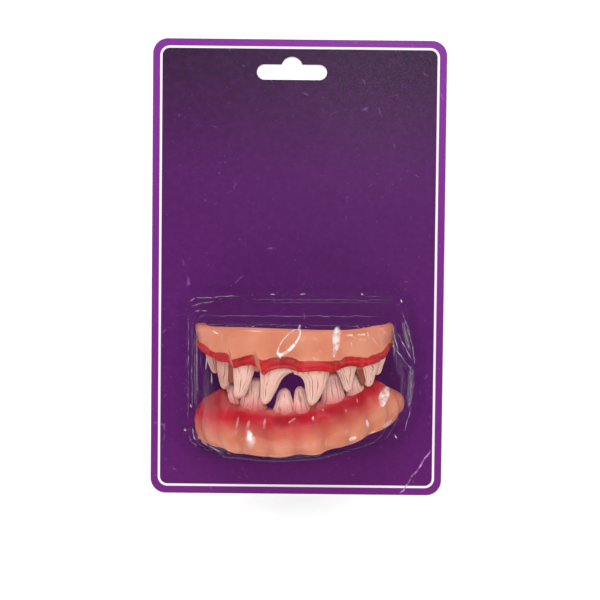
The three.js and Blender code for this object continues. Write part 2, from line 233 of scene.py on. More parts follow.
def cut_card():
    """The card as a flat filled outline, given its thickness and a slightly crushed edge."""
    sheet = bpy.data.curves.new("card_outline", "CURVE")
    sheet.dimensions = "2D"
    sheet.fill_mode = "BOTH"
    for loop in card_outlines():
        line = sheet.splines.new("POLY")
        line.points.add(len(loop) - 1)
        for point, (x, y) in zip(line.points, loop):
            point.co = (x * MM, y * MM, 0, 1)
        line.use_cyclic_u = True
    sheet.extrude = (CARD_THICK / 2 - CARD_EDGE) * MM
    sheet.bevel_depth = CARD_EDGE * MM
    sheet.bevel_resolution = 2
    flat = bpy.data.objects.new("card_outline", sheet)
    bpy.context.collection.objects.link(flat)
    mesh = plain_mesh(flat)
    mesh.transform(Matrix.Translation((0, 0, CARD_THICK / 2 * MM)))
    return mesh_object("hang_card", mesh, smooth=False)


def card_crease(tree, place):
    """The crease across the card's lower right corner, as a mask along a wavering line."""
    start, end = Vector((51.0, -68.5, 0)) * MM, Vector((40.0, -84.5, 0)) * MM
    along = (end - start).normalized()
    from_start = tree.vector("SUBTRACT", place, tuple(start))
    aside = tree.vector("DOT_PRODUCT", from_start, (-along.y, along.x, 0.0), out="Value")
    travelled = tree.vector("DOT_PRODUCT", from_start, tuple(along), out="Value")
    waver = tree.math("MULTIPLY_ADD", tree.noise(place, 160.0, 3.0), 2.6 * MM, -1.3 * MM)
    off_line = tree.math("ABSOLUTE", tree.plus(aside, waver))
    near = tree.between(off_line, 0.12 * MM, 0.42 * MM, 1.0, 0.0)
    length = (end - start).length
    ends = tree.times(
        tree.between(travelled, -2.0 * MM, 1.0 * MM),
        tree.between(travelled, length - 1.0 * MM, length + 1.0 * MM, 1.0, 0.0),
    )
    broken = tree.between(tree.noise(place, 300.0, 3.0), 0.36, 0.62)
    return tree.times(tree.times(near, ends), broken)


def card_print():
    """Purple print, darker at the top, with a white line inside a brighter border."""
    made, tree, shader, place = new_finish("card_print")
    parts = tree.axes(place)
    half_width, half_height = CARD_WIDTH / 2 * MM, CARD_HEIGHT / 2 * MM
    inset, corner = LINE_INSET * MM, LINE_CORNER * MM
    distance = outside_frame(tree, place, half_width - inset, half_height - inset, corner)
    height = tree.between(parts["Y"], -half_height, half_height, smooth=False)
    panel = tree.ramp(
        height,
        [
            (0.0, srgb(88, 26, 94)),
            (0.3, srgb(82, 22, 94)),
            (0.7, srgb(76, 22, 86)),
            (0.86, srgb(60, 22, 66)),
            (1.0, srgb(42, 22, 46)),
        ],
    )
    border = tree.ramp(
        height,
        [(0.0, srgb(108, 36, 116)), (0.6, srgb(112, 36, 126)), (1.0, srgb(122, 44, 140))],
    )
    ink = tree.noise(place, 420.0, 4.0)
    panel = tree.mix(tree.between(ink, 0.3, 0.8, 0.0, 0.14), panel, srgb(112, 44, 128))
    is_border = tree.between(distance, -INK_SPREAD * MM, INK_SPREAD * MM)
    printed = tree.mix(is_border, panel, border)
    from_line = tree.math("ABSOLUTE", distance)
    full, clear = (HALF_LINE - LINE_SPREAD) * MM, (HALF_LINE + LINE_SPREAD) * MM
    is_line = tree.between(from_line, full, clear, 1.0, 0.0)
    printed = tree.mix(is_line, printed, srgb(240, 228, 240))
    rubbed = scuff_marks(tree, place, 38.0, 0.24)
    worn = tree.math("MAXIMUM", rubbed, card_crease(tree, place))
    printed = tree.mix(worn, printed, srgb(186, 140, 196))
    board = tree.mix(tree.noise(place, 700.0, 3.0), srgb(226, 222, 214), srgb(206, 200, 190))
    face = tree.between(parts["Z"], (CARD_THICK - 0.1) * MM, (CARD_THICK - 0.04) * MM)
    grain = tree.noise(place, 1500.0, 2.0)
    wave = tree.bump(tree.noise(place, 26.0, 2.0), 0.08, 4.0 * MM)
    looks = {
        "Base Color": tree.mix(face, board, printed),
        "Roughness": tree.between(grain, 0.3, 0.7, 0.3, 0.42),
        "Normal": tree.bump(tree.plus(tree.times(worn, -0.6), grain), 0.08, 0.2 * MM, wave),
        "Specular IOR Level": 0.14,
    }
    tree.feed(shader, looks)
    return made


card = cut_card()
finished(card, "root", "card", card_print())

# Upper gum
# A hollow arch of soft flesh-coloured vinyl, cast with a swollen roll along the teeth that is brush
# painted red with a hard edge. Its two ends stand on the card inside the blister.
PLATE_BASE = 0.9
ARCH_EXPONENT = 2.2
STEP_BACK, STEP_RISE, ROUNDING = 4.6, 0.4, 0.8
LIP_DEPTH, LIP_DROP, WEB_FRONT, WEB_BACK = 2.5, 0.05, 2.9, 0.6
UPPER = {
    "x": -0.2, "y": -36.5, "turn": 0.6, "tooth_side": -1, "half_width": 36.5, "depth": 31.0,
    "base": -2.8, "base_rise": 8.0, "base_power": 4, "neck_set_back": 0.3,
    "wall": 2.4, "wall_mid": 2.4, "channel": 6.0, "inner_wall": 2.2,
    "inner_share": 0.72, "behind": 3.4, "floor": 7.5,
}
# The outer face: shares of its height, and how far out it stands there
UPPER_FACE = [
    (1, -1.3), (0.94, -0.4), (0.7, 0.2), (0.4, 0.3), (0.24, 0.4), (0.12, 0.6), (0.02, 0.5),
]
# Heights of the margin by the teeth, of the paint, of the far edge and of the webs, by X
UPPER_MARGIN = [
    (-36.5, 8.4), (-33.8, 6.1), (-29.6, 4.2), (-27.4, 3.1), (-23.4, 3.2), (-22.2, 0.8),
    (-20.2, 1.9), (-16.4, 2.6), (-14.4, 2.4), (-12.6, 0.2), (-11.6, -1.4), (-9.9, 0.4),
    (-6.8, 1.4), (-3.7, 1.6), (-1.0, 1.1), (1.1, 0.1), (6.7, 0.6), (10.6, 0.4), (13.3, -0.1),
    (16.4, 1.6), (19.0, 2.1), (23.5, 1.5), (28.4, 2.4), (32.2, 4.3), (33.8, 6.4), (36.5, 8.4),
]
UPPER_PAINT_TOP = [
    (-36.5, 10.2), (-31.9, 8.4), (-29.6, 6.6), (-25.6, 6.5), (-23.8, 6.3), (-23.0, 4.3),
    (-21.6, 4.4), (-19.6, 5.0), (-16.9, 6.1), (-14.9, 6.5), (-13.7, 5.4), (-11.8, 4.3),
    (-9.1, 5.1), (-6.0, 5.7), (-2.9, 5.8), (-0.6, 5.2), (1.3, 4.2), (7.5, 4.2), (14.8, 4.2),
    (17.2, 5.3), (19.5, 5.6), (22.7, 5.1), (25.1, 4.8), (27.5, 5.8), (30.1, 6.2), (33.6, 9.0),
    (36.5, 10.2),
]
UPPER_EDGE = [
    (-36.5, 16.0), (-33.0, 15.5), (-20.0, 15.8), (-6.0, 15.5), (8.6, 15.0), (17.8, 14.8),
    (24.2, 15.2), (30.6, 15.9), (36.5, 16.1),
]
UPPER_WEB = [
    (-36.5, 0.0), (-27.2, 0.0), (-26.0, 8.4), (-22.6, 6.4), (-21.4, 0.0), (-17.2, 0.0),
    (-16.2, 2.2), (-14.2, 2.6), (-13.4, 0.0), (21.6, 0.0), (23.0, 2.0), (25.2, 7.4),
    (26.4, 7.8), (27.2, 0.0), (36.5, 0.0),
]
UPPER_CREASES = (-32.4, -23.5, -13.1, 1.2, 14.1, 24.6, 33.6)
FINE_STEPS, ARCH_STEPS = 20001, 4001
GUM_SECTIONS = 420
FACE_SHARES = np.linspace(1, 0.02, 56)
CORNER_ROUNDS, FIRST_KEPT, LAST_KEPT = 3, 2, -13
END_ROUND = 0.3


class Arch:
    """The line that a plate's outer face follows, by the share of its length, in millimetres."""

    def __init__(self, plate):
        self.plate = plate
        angle = np.linspace(-math.pi / 2, math.pi / 2, FINE_STEPS)
        power = 2 / ARCH_EXPONENT
        across = np.sign(angle) * np.abs(np.sin(angle)) ** power * plate["half_width"]
        forward = np.maximum(np.cos(angle), 0) ** power * plate["depth"]
        steps = np.hypot(np.diff(across), np.diff(forward))
        travelled = np.concatenate([[0], np.cumsum(steps)])
        self.length = travelled[-1]
        self.share = np.linspace(0, 1, ARCH_STEPS)
        self.across = np.interp(self.share * self.length, travelled, across)
        self.forward = np.interp(self.share * self.length, travelled, forward)
        slope_x, slope_z = np.gradient(self.across), np.gradient(self.forward)
        size = np.hypot(slope_x, slope_z)
        self.along = np.stack([slope_x / size, slope_z / size])

    def at(self, share):
        """The point, the way along and the way out at shares of the length, each as X and Z."""
        point = np.stack([np.interp(share, self.share, v) for v in (self.across, self.forward)])
        along = np.stack([np.interp(share, self.share, v) for v in self.along])
        along /= np.linalg.norm(along, axis=0)
        out = np.stack([-along[1], along[0]])
        return point, along, out

    def tooth_share(self, tooth):
        """The share of the arch at which a tooth's middle stands at its X."""
        point, _, out = self.at(self.share)
        middle = point[0] - out[0] * (self.plate["neck_set_back"] + tooth["thick"] / 2)
        return float(np.interp(tooth["x"], middle, self.share))


def plate_place(plate, across, height, forward):
    """Points of a plate, in metres in the object's frame."""
    turn = math.radians(plate["turn"])
    up = -plate["tooth_side"] * height
    x = plate["x"] + across * math.cos(turn) - up * math.sin(turn)
    y = plate["y"] + across * math.sin(turn) + up * math.cos(turn)
    return np.stack([x, y, forward + PLATE_BASE], axis=-1) * MM


def smoothed(values, passes):
    """A row of numbers with its corners eased, keeping its two ends."""
    eased = np.array(values, float)
    for _ in range(passes):
        eased[1:-1] = (eased[:-2] + 2 * eased[1:-1] + eased[2:]) / 4
    return eased


def corners_cut(loop, rounds):
    """A closed row of points with each corner cut off, again at each round."""
    for _ in range(rounds):
        after = np.roll(loop, -1, axis=0)
        pair = [0.75 * loop + 0.25 * after, 0.25 * loop + 0.75 * after]
        loop = np.stack(pair, axis=1).reshape(-1, 2)
    return loop


def read_table(table, across, passes):
    """Heights from a table across the arch, at each section."""
    places, heights = np.array(table).T
    return smoothed(np.interp(across, places, heights), passes)


def gum_section(plate, face, edge, base, margin, web, swell):
    """One section of a gum as points out of the arch and up from the tooth line, anticlockwise."""
    shares, outs = np.array(face[::-1]).T
    height = margin + (edge - margin) * FACE_SHARES
    out = smoothed(np.interp(FACE_SHARES, shares, outs), passes=10)
    out += swell(FACE_SHARES, height - margin)
    outer = np.stack([out, height], axis=1)
    inner = -(plate["wall"] + plate["channel"])
    back = inner - plate["inner_wall"]
    step = -(plate["neck_set_back"] + STEP_BACK)
    behind, floor = base + plate["behind"], base + plate["floor"]
    inner_top = base + (edge - base) * plate["inner_share"]
    rest = [
        (out[-1] - ROUNDING, margin - LIP_DROP),
        (out[-1] - LIP_DEPTH, margin),
        (out[-1] - WEB_FRONT, margin - web),
        (step + WEB_BACK, margin - web),
        (step, margin),
        (step - ROUNDING, max(behind, margin + STEP_RISE)),
        (back, max(behind, margin + STEP_RISE)),
        (back, inner_top),
        (inner, inner_top),
        (inner, floor),
        (-plate["wall"], floor),
        (-plate["wall_mid"], (floor + edge) / 2),
        (outs[-1] - 2 * ROUNDING, edge - ROUNDING),
        (outs[-1] - ROUNDING, edge),
    ]
    # The row closes along the outer face, which has its own points, so its ends are left out
    rest = corners_cut(np.array([outer[-1], *rest, outer[0]]), CORNER_ROUNDS)
    return np.concatenate([outer, rest[FIRST_KEPT:LAST_KEPT]])[::-1]


def ring_faces(rings, sides):
    """The numbers of the points in a row of closed rings, and the faces between the rings."""
    index = np.arange(rings * sides).reshape(rings, sides)
    beside = np.roll(index, -1, axis=1)
    corners = [index[:-1], beside[:-1], beside[1:], index[1:]]
    return index, np.stack(corners, axis=-1).reshape(-1, 4).tolist()


def mark_points(mesh, label, values):
    """Stores a number at each point of a mesh, for its finish to read."""
    store = mesh.attributes.new(label, "FLOAT", "POINT")
    store.data.foreach_set("value", np.array(values, np.float32).reshape(-1))


def gum_piece(name, plate, face, margins, edges, paints, swell, webs=None):
    """A gum: its section carried along the arch, with round ends, and its points marked."""
    arch = Arch(plate)
    shares = np.linspace(0, 1, GUM_SECTIONS + 1)
    point, _, out = arch.at(shares)
    reach = np.abs(point[0]) / plate["half_width"]
    along = (shares - 0.5) * arch.length
    base = plate["base"] + plate["base_rise"] * reach ** plate["base_power"]
    edge = read_table(edges, point[0], passes=40)
    margin = read_table(margins, point[0], passes=8)
    web = read_table(webs, point[0], passes=4) if webs else 0 * margin
    paint = read_table(paints, point[0], passes=4)
    rings, above, below_paint, inward = [], [], [], []
    for i, share in enumerate(shares):
        loop = gum_section(
            plate, face, edge[i], base[i], margin[i], web[i],
            lambda up, high: swell(along[i], up, high, paint[i] - margin[i]),
        )
        from_end = min(share, 1 - share) * arch.length
        if from_end < END_ROUND:
            drawn = END_ROUND - math.sqrt(END_ROUND**2 - (END_ROUND - from_end) ** 2)
            side = np.roll(loop, -1, axis=0) - np.roll(loop, 1, axis=0)
            side /= np.maximum(np.linalg.norm(side, axis=1, keepdims=True), 1e-9)
            loop = loop + drawn * np.stack([-side[:, 1], side[:, 0]], axis=1)
        across = point[0, i] + out[0, i] * loop[:, 0]
        forward = point[1, i] + out[1, i] * loop[:, 0]
        rings.append(plate_place(plate, across, loop[:, 1], forward))
        above.append(loop[:, 1] - margin[i])
        below_paint.append(paint[i] - loop[:, 1])
        inward.append(-loop[:, 0])
    rings = np.array(rings)
    sections, sides = rings.shape[:2]
    index, faces = ring_faces(sections, sides)
    ends = [list(index[0][::-1]), list(index[-1])]
    mesh = bpy.data.meshes.new(name)
    mesh.from_pydata(rings.reshape(-1, 3).tolist(), [], faces + ends)
    if plate["tooth_side"] < 0:
        mesh.flip_normals()
    mark_points(mesh, "above_margin", above)
    mark_points(mesh, "below_paint", below_paint)
    mark_points(mesh, "inward", inward)
    mark_points(mesh, "along_arch", np.repeat(along, sides))
    mesh.validate()
    return mesh_object(name, mesh)


def upper_swell(along, up, above, band):
    """The roll along the upper teeth, creased between each two, and a slow waviness."""
    crease = math.prod(1 - math.exp(-(((along - place) / 0.9) ** 2)) for place in UPPER_CREASES)
    roll = (0.1 + 0.75 * crease) * np.exp(-(((above / band - 0.45) / 0.5) ** 2))
    wave = 0.28 * noise.noise(Vector((along * 0.17, 7.7, 3.1))) + 0.12 * math.cos(along * 0.74)
    end = min(max((abs(along) - 34) / 12, 0), 1)
    if along < 0:
        end = end * 1.7 * np.clip(up * 1.6 - 0.5, 0, 1)
    else:
        end = -end * 1.9 * np.clip(0.9 - up * 1.2, 0, 1)
    return roll + wave * np.sin(np.pi * np.clip(up, 0, 1)) + end


def vinyl_mottle_group():
    """Uneven colour of cast vinyl: broad cloudy patches and fine specks, from 0 to 1."""
    made = bpy.data.node_groups.new("vinyl_mottle", "ShaderNodeTree")
    for label, way, kind in (
        ("Place", "INPUT", "NodeSocketVector"),
        ("Scale", "INPUT", "NodeSocketFloat"),
        ("Cloud", "OUTPUT", "NodeSocketFloat"),
        ("Grain", "OUTPUT", "NodeSocketFloat"),
    ):
        made.interface.new_socket(label, in_out=way, socket_type=kind)
    tree = Tree(made)
    given = tree.node("NodeGroupInput").outputs
    result = tree.node("NodeGroupOutput").inputs
    cloud = tree.node("ShaderNodeTexNoise", {"Scale": given["Scale"], "Detail": 4.0})
    tree.put(cloud.inputs["Vector"], given["Place"])
    tree.put(result["Cloud"], tree.between(cloud.outputs["Fac"], 0.3, 0.7))
    tree.put(result["Grain"], tree.noise(given["Place"], 1600.0, 3.0))
    return made


vinyl_mottle = vinyl_mottle_group()


def mottled(tree, place, scale):
    """The uneven colour of vinyl in a finish, at a scale."""
    made = tree.node("ShaderNodeGroup", node_tree=vinyl_mottle)
    return tree.feed(made, {"Place": place, "Scale": scale}).outputs


def gum_base(tree, place):
    """Flesh-coloured vinyl and its relief, before any paint."""
    mottle = mottled(tree, place, 95.0)
    flesh = tree.mix(mottle["Cloud"], srgb(206, 122, 92), srgb(216, 138, 108))
    height = tree.plus(mottle["Cloud"], tree.times(mottle["Grain"], 0.2))
    return flesh, mottle, tree.bump(height, 0.25, 0.6 * MM)


def vinyl_looks(tree, shader, colour, roughness, relief, gloss):
    """Painted soft vinyl, which lets a little light in under its surface."""
    looks = {
        "Base Color": colour,
        "Roughness": roughness,
        "Normal": relief,
        "Subsurface Weight": 0.12,
        "Subsurface Radius": (1.0, 0.35, 0.25),
        "Subsurface Scale": 1.6 * MM,
        "Specular IOR Level": 0.22,
        "Coat Weight": gloss,
        "Coat Roughness": 0.14,
    }
    tree.feed(shader, looks)


def upper_gum_vinyl():
    """Flesh vinyl with a hard-edged band of red along the teeth, bare where the brush lifted."""
    made, tree, shader, place = new_finish("upper_gum_vinyl")
    flesh, mottle, relief = gum_base(tree, place)
    above, along = tree.attribute("above_margin"), tree.attribute("along_arch")
    ragged = tree.math("MULTIPLY_ADD", tree.noise(place, 520.0, 3.0), 1.0, -0.5)
    red = tree.between(tree.plus(tree.attribute("below_paint"), ragged), -0.12, 0.12)
    red = tree.times(red, tree.between(tree.attribute("inward"), 2.2, 1.2))
    red = tree.times(red, tree.between(above, -0.8, -0.3))
    slant = tree.math("MULTIPLY_ADD", above, 0.38, along)
    # The webs recessed between the teeth, most towards the sides, are darkened brown as painted
    # shade.
    web = tree.between(above, 0.2, -1.4)
    off_middle = tree.math("ABSOLUTE", along)
    painted_shade = tree.times(web, tree.between(off_middle, 17.5, 21.0, 0.3, 0.9))
    for middle, half in ((-12.6, 0.7), (-23.1, 0.25)):
        off = tree.math("ABSOLUTE", tree.minus(slant, middle))
        bare = tree.between(off, half + 0.35, half)
        # Beside each bare strip the flesh is darkened brown as painted shade.
        crease_shade = tree.times(bare, tree.between(above, 5.6, 3.4, 0.0, 0.5))
        painted_shade = tree.math("MAXIMUM", painted_shade, crease_shade)
        red = tree.times(red, tree.minus(1.0, bare))
    flesh = tree.mix(painted_shade, flesh, srgb(132, 62, 50))
    paint = tree.mix(mottle["Cloud"], srgb(150, 8, 19), srgb(190, 24, 32))
    strokes = tree.noise(tree.vector("MULTIPLY", place, (900.0, 160.0, 900.0)), 1.0, 2.0)
    paint = tree.mix(tree.between(strokes, 0.5, 0.75, 0.0, 0.5), paint, srgb(208, 64, 60))
    colour = tree.mix(red, flesh, paint)
    roughness = tree.between(mottle["Grain"], 0.3, 0.7, 0.36, 0.48)
    vinyl_looks(tree, shader, colour, roughness, tree.bump(red, 0.4, 0.2 * MM, relief), 0.1)
    return made


upper_gum = gum_piece(
    "upper_gum_arch",
    UPPER,
    UPPER_FACE,
    UPPER_MARGIN,
    UPPER_EDGE,
    UPPER_PAINT_TOP,
    upper_swell,
    UPPER_WEB,
)
finished(upper_gum, "root", "upper_gum", upper_gum_vinyl())

# Upper teeth
# Eight crooked teeth of painted vinyl, from broad stumps at the back to two long front fangs with
# an arched gap between them. Each is ribbed, stained brown in its grooves, and rooted in the gum.
ROOT_LENGTH = 1.6
LEAST_GROOVES, GROOVES_PER_MM = 6, 0.9
SEED_STEP = 3.7
TOOTH_COLUMNS = (
    "name", "x", "neck", "width", "thick", "length", "lean", "tip", "taper",
    "flare_left", "flare_right",
)
UPPER_TEETH = [
    dict(zip(TOOTH_COLUMNS, row))
    for row in (
        ("molar_left", -31.0, 5.8, 6.6, 4.0, 7.4, 2.2, 2.0, 1.1, 0.0, 0.0),
        ("fang_left", -25.9, 3.8, 6.8, 4.2, 10.8, -0.4, 2.0, 2.6, 0.0, 0.2),
        ("canine_left", -18.6, 3.0, 8.8, 4.4, 12.8, -2.3, 3.2, 1.6, 0.0, 0.2),
        ("incisor_left", -8.3, 2.0, 9.4, 4.2, 13.5, -2.8, 2.4, 1.3, 0.0, 4.6),
        ("incisor_right", 7.0, 1.0, 8.8, 4.2, 12.9, -1.5, 1.9, 2.0, 3.6, 0.4),
        ("canine_right", 17.7, 2.4, 7.6, 4.4, 9.8, 0.9, 1.8, 1.2, 1.0, 0.4),
        ("fang_right", 26.1, 2.6, 7.8, 4.2, 8.8, 0.2, 2.2, 1.6, 0.3, 0.4),
        ("molar_right", 30.6, 5.0, 5.4, 4.0, 7.2, -1.8, 1.8, 1.0, 0.0, 0.0),
    )
]
TOOTH_SIZES = [
    ("Neck Width", 8.0), ("Neck Thickness", 4.0), ("Length", 10.0),
    ("Root Length", ROOT_LENGTH), ("Tip Width", 2.0), ("Lean", 0.0), ("Taper", 1.6),
    ("Left Flare", 0.0), ("Right Flare", 0.0), ("Flare Reach", 4.0), ("Curl", 0.6),
    ("Groove Depth", 0.16), ("Groove Count", 9.0), ("Seed", 1.0),
]


def tooth_tree():
    """One ribbed tooth, root up and tip down, its face towards -Y, in millimetres."""
    made = bpy.data.node_groups.new("ribbed_tooth", "GeometryNodeTree")
    made.interface.new_socket("Geometry", in_out="INPUT", socket_type="NodeSocketGeometry")
    for label, value in TOOTH_SIZES:
        socket = made.interface.new_socket(label, in_out="INPUT", socket_type="NodeSocketFloat")
        socket.default_value = value
    made.interface.new_socket("Finish", in_out="INPUT", socket_type="NodeSocketMaterial")
    made.interface.new_socket("Geometry", in_out="OUTPUT", socket_type="NodeSocketGeometry")
    tree = Tree(made)
    size = tree.node("NodeGroupInput").outputs
    stump = tree.node(
        "GeometryNodeMeshCylinder",
        {"Vertices": 144, "Side Segments": 72, "Fill Segments": 4, "Radius": 1.0, "Depth": 2.0},
        fill_type="TRIANGLE_FAN",
    )
    place = tree.node("GeometryNodeInputPosition").outputs[0]
    parts = tree.axes(place)
    angle = tree.math("ARCTAN2", parts["Y"], parts["X"])
    radius = tree.vector("LENGTH", tree.joined(parts["X"], parts["Y"]), out="Value")
    whole = tree.plus(size["Length"], size["Root Length"])
    share = tree.math("MULTIPLY_ADD", parts["Z"], -0.5, 0.5)
    travelled = tree.minus(tree.times(share, whole), size["Root Length"])
    down = tree.math("DIVIDE", travelled, size["Length"], clamp=True)
    taper = tree.math("POWER", down, size["Taper"])
    tip_thick = tree.math("MINIMUM", size["Tip Width"], size["Neck Thickness"])

    def tapered(neck, tip, share):
        return tree.math("MULTIPLY_ADD", tree.minus(tip, neck), share, neck)

    width = tapered(size["Neck Width"], size["Tip Width"], taper)
    thick = tapered(size["Neck Thickness"], tip_thick, tree.math("POWER", down, 1.8))
    dome = tree.between(down, 0.86, 1.0, smooth=False)
    dome = tree.math("SQRT", tree.minus(1.0, tree.times(tree.math("POWER", dome, 2.0), 0.9)))
    root = tree.between(tree.math("DIVIDE", travelled, size["Root Length"]), -1.0, 0.0, 0.72, 1.0)
    fullness = tree.times(dome, root)
    seeded = tree.joined(size["Seed"], size["Seed"], size["Seed"])
    wander_at = tree.vector("ADD", tree.vector("MULTIPLY", place, (1.1, 1.1, 0.7)), seeded)
    wander = tree.math("MULTIPLY_ADD", tree.noise(wander_at, 1.0, 1.0), 1.3, -0.65)
    turned = tree.plus(tree.plus(angle, wander), size["Seed"])
    wave = tree.math("SINE", tree.times(turned, size["Groove Count"]))
    groove = tree.math("POWER", tree.math("MULTIPLY_ADD", wave, 0.5, 0.5), 4.5)
    strength_at = tree.vector("ADD", tree.vector("MULTIPLY", place, (1.6, 1.6, 0.45)), seeded)
    strength = tree.between(tree.noise(strength_at, 1.9, 2.0), 0.34, 0.6, 0.35, 1.0)
    groove = tree.times(groove, strength)
    groove = tree.times(groove, tree.between(down, 0.98, 0.75))
    sunk = tree.times(groove, size["Groove Depth"])
    lump = tree.math("MULTIPLY_ADD", tree.noise(wander_at, 2.4, 2.0), 0.5, -0.25)
    lump = tree.minus(tree.times(lump, tree.between(down, 0.0, 0.2)), sunk)
    bow = tree.times(size["Flare Reach"], 0.34)
    bow = tree.between(travelled, size["Flare Reach"], bow, smooth=False)
    hollow = tree.math("SQRT", tree.math("MULTIPLY_ADD", bow, tree.times(bow, -1.0), 1.0))
    at_neck = tree.minus(1.0, hollow)
    on_right = tree.math("GREATER_THAN", parts["X"], 0.0)
    flare = tree.plus(
        tree.times(size["Right Flare"], on_right),
        tree.times(size["Left Flare"], tree.minus(1.0, on_right)),
    )

    def spread(full, way, extra):
        half = tree.math("MULTIPLY_ADD", full, 0.5, tree.times(extra, at_neck))
        half = tree.times(tree.plus(half, lump), fullness)
        return tree.times(tree.times(half, radius), tree.math(way, angle))

    across = tree.plus(spread(width, "COSINE", flare), tree.times(size["Lean"], taper))
    curl = tree.times(size["Curl"], tree.times(down, down))
    deep = tree.plus(spread(thick, "SINE", 0.0), curl)
    moved = tree.joined(across, deep, tree.times(travelled, -1.0))
    marked = stump.outputs["Mesh"]
    for label, value in (("down", down), ("groove", groove), ("around", angle)):
        marked = tree.node(
            "GeometryNodeStoreNamedAttribute",
            {"Geometry": marked, "Name": label, "Value": value},
            data_type="FLOAT",
            domain="POINT",
        ).outputs[0]
    shaped = tree.node("GeometryNodeSetPosition", {"Geometry": marked, "Position": moved})
    real = tree.node("GeometryNodeRealizeInstances", {"Geometry": shaped.outputs[0]})
    dressed = tree.node("GeometryNodeSetMaterial", {"Geometry": real.outputs[0]})
    tree.put(dressed.inputs["Material"], size["Finish"])
    tree.put(tree.node("NodeGroupOutput").inputs[0], dressed.outputs[0])
    return made


ribbed_tooth = tooth_tree()


def grow_tooth(name, sizes, finish):
    """Runs the tooth tree once and gives its mesh, in millimetres."""
    seedling = bpy.data.objects.new(name, bpy.data.meshes.new(name))
    bpy.context.collection.objects.link(seedling)
    growth = seedling.modifiers.new("growth", "NODES")
    growth.node_group = ribbed_tooth
    entries = ribbed_tooth.interface.items_tree
    sockets = {entry.name: entry.identifier for entry in entries if entry.in_out == "INPUT"}
    for label, value in sizes.items():
        growth[sockets[label]] = value
    growth[sockets["Finish"]] = finish
    return plain_mesh(seedling)


def set_teeth(side, plate, teeth, finish, groove_depth, curl, flare_reach):
    """Grows each tooth of a plate and stands it on the arch, face out and tip away from the gum."""
    arch = Arch(plate)
    turn = Matrix.Rotation(math.radians(plate["turn"]), 4, "Z")
    down = plate["tooth_side"]
    for number, tooth in enumerate(teeth):
        flares = [tooth["flare_left"], tooth["flare_right"]][::-down]
        sizes = {
            "Neck Width": tooth["width"],
            "Neck Thickness": tooth["thick"],
            "Length": tooth["length"],
            "Tip Width": tooth["tip"],
            "Lean": -tooth["lean"] * down,
            "Taper": tooth["taper"],
            "Left Flare": flares[0],
            "Right Flare": flares[1],
            "Flare Reach": flare_reach,
            "Curl": curl,
            "Groove Depth": groove_depth,
            "Groove Count": float(round(LEAST_GROOVES + tooth["width"] * GROOVES_PER_MM)),
            "Seed": float(number + 1) * SEED_STEP,
        }
        mesh = grow_tooth(f"{side}_{tooth['name']}_seedling", sizes, finish)
        point, along, out = (v[:, 0] for v in arch.at(np.array([arch.tooth_share(tooth)])))
        middle = point - out * (plate["neck_set_back"] + tooth["thick"] / 2)
        stand = Matrix(
            (
                (-down * along[0], -out[0], 0, middle[0]),
                (0, 0, -down, -down * tooth["neck"]),
                (-down * along[1], -out[1], 0, middle[1]),
                (0, 0, 0, 1),
            )
        )
        home = Matrix.Translation((plate["x"], plate["y"], PLATE_BASE))
        mesh.transform(Matrix.Scale(MM, 4) @ home @ turn @ stand)
        piece = mesh_object(f"{side}_{tooth['name']}_tooth", mesh)
        finished(piece, "root", f"{side}_{tooth['name']}", finish)


def enamel(name, crown, neck, stain_and_shade, tip, neck_reach):
    """Painted vinyl tooth: a crown that warms towards the neck, stained in its grooves, with
    painted shade on the teeth at the left.
    """
    made, tree, shader, place = new_finish(name)
    down, groove, around = (tree.attribute(label) for label in ("down", "groove", "around"))
    mottle = mottled(tree, place, 160.0)
    shaded = tuple(part * 0.92 for part in crown[:3]) + (1.0,)
    colour = tree.mix(mottle["Cloud"], crown, shaded)
    colour = tree.mix(tree.between(down, neck_reach, 0.0), colour, neck)
    fibres_at = tree.joined(tree.times(around, 12.0), tree.times(down, 1.6), mottle["Cloud"])
    fibres = tree.between(tree.noise(fibres_at, 1.6, 3.0), 0.5, 0.72)
    sunk = tree.between(groove, 0.2, 0.9, 0.0, 0.8)
    colour = tree.mix(tree.math("MAXIMUM", tree.times(fibres, 0.35), sunk), colour, stain_and_shade)
    # Teeth at the left are darkened towards the stain colour as painted shade.
    left_painted_shade = tree.between(tree.axes(place)["X"], -21.0 * MM, -26.0 * MM, 0.0, 0.42)
    colour = tree.mix(left_painted_shade, colour, stain_and_shade)
    end = tree.times(tree.between(down, 0.86, 1.0), mottle["Cloud"])
    colour = tree.mix(tree.times(end, 0.9), colour, tip)
    roughness = tree.between(mottle["Grain"], 0.3, 0.7, 0.34, 0.48)
    relief = tree.bump(tree.minus(mottle["Grain"], tree.times(fibres, 1.5)), 0.3, 0.2 * MM)
    vinyl_looks(tree, shader, colour, roughness, relief, 0.15)
    return made


upper_enamel = enamel(
    "upper_enamel",
    crown=srgb(237, 192, 175),
    neck=srgb(230, 178, 159),
    stain_and_shade=srgb(160, 86, 76),
    tip=srgb(218, 142, 104),
    neck_reach=0.2,
)
set_teeth(
    "upper",
    UPPER,
    UPPER_TEETH,
    upper_enamel,
    groove_depth=0.36,
    curl=0.4,
    flare_reach=5.2,
)

# Lower gum
# The lower plate's arch, of the same vinyl: a thick roll, lobed by the roots under it, with a shelf
# that slopes in to the teeth. Red is sprayed along the shelf's brow and fades out over the lobes.
LOWER = {
    "x": 1.4, "y": -48.5, "turn": 5.0, "tooth_side": 1, "half_width": 39.0, "depth": 30.5,
    "base": 1.6, "base_rise": -8.0, "base_power": 2, "neck_set_back": 4.6,
    "wall": 5.0, "wall_mid": 2.8, "channel": 5.2, "inner_wall": 2.2,
    "inner_share": 0.66, "behind": 1.4, "floor": 6.4,
}
LOWER_FACE = [
    (1, -2.2), (0.93, -0.9), (0.72, 0.0), (0.45, -0.4), (0.25, -2.0), (0.1, -4.0), (0.02, -5.2),
]
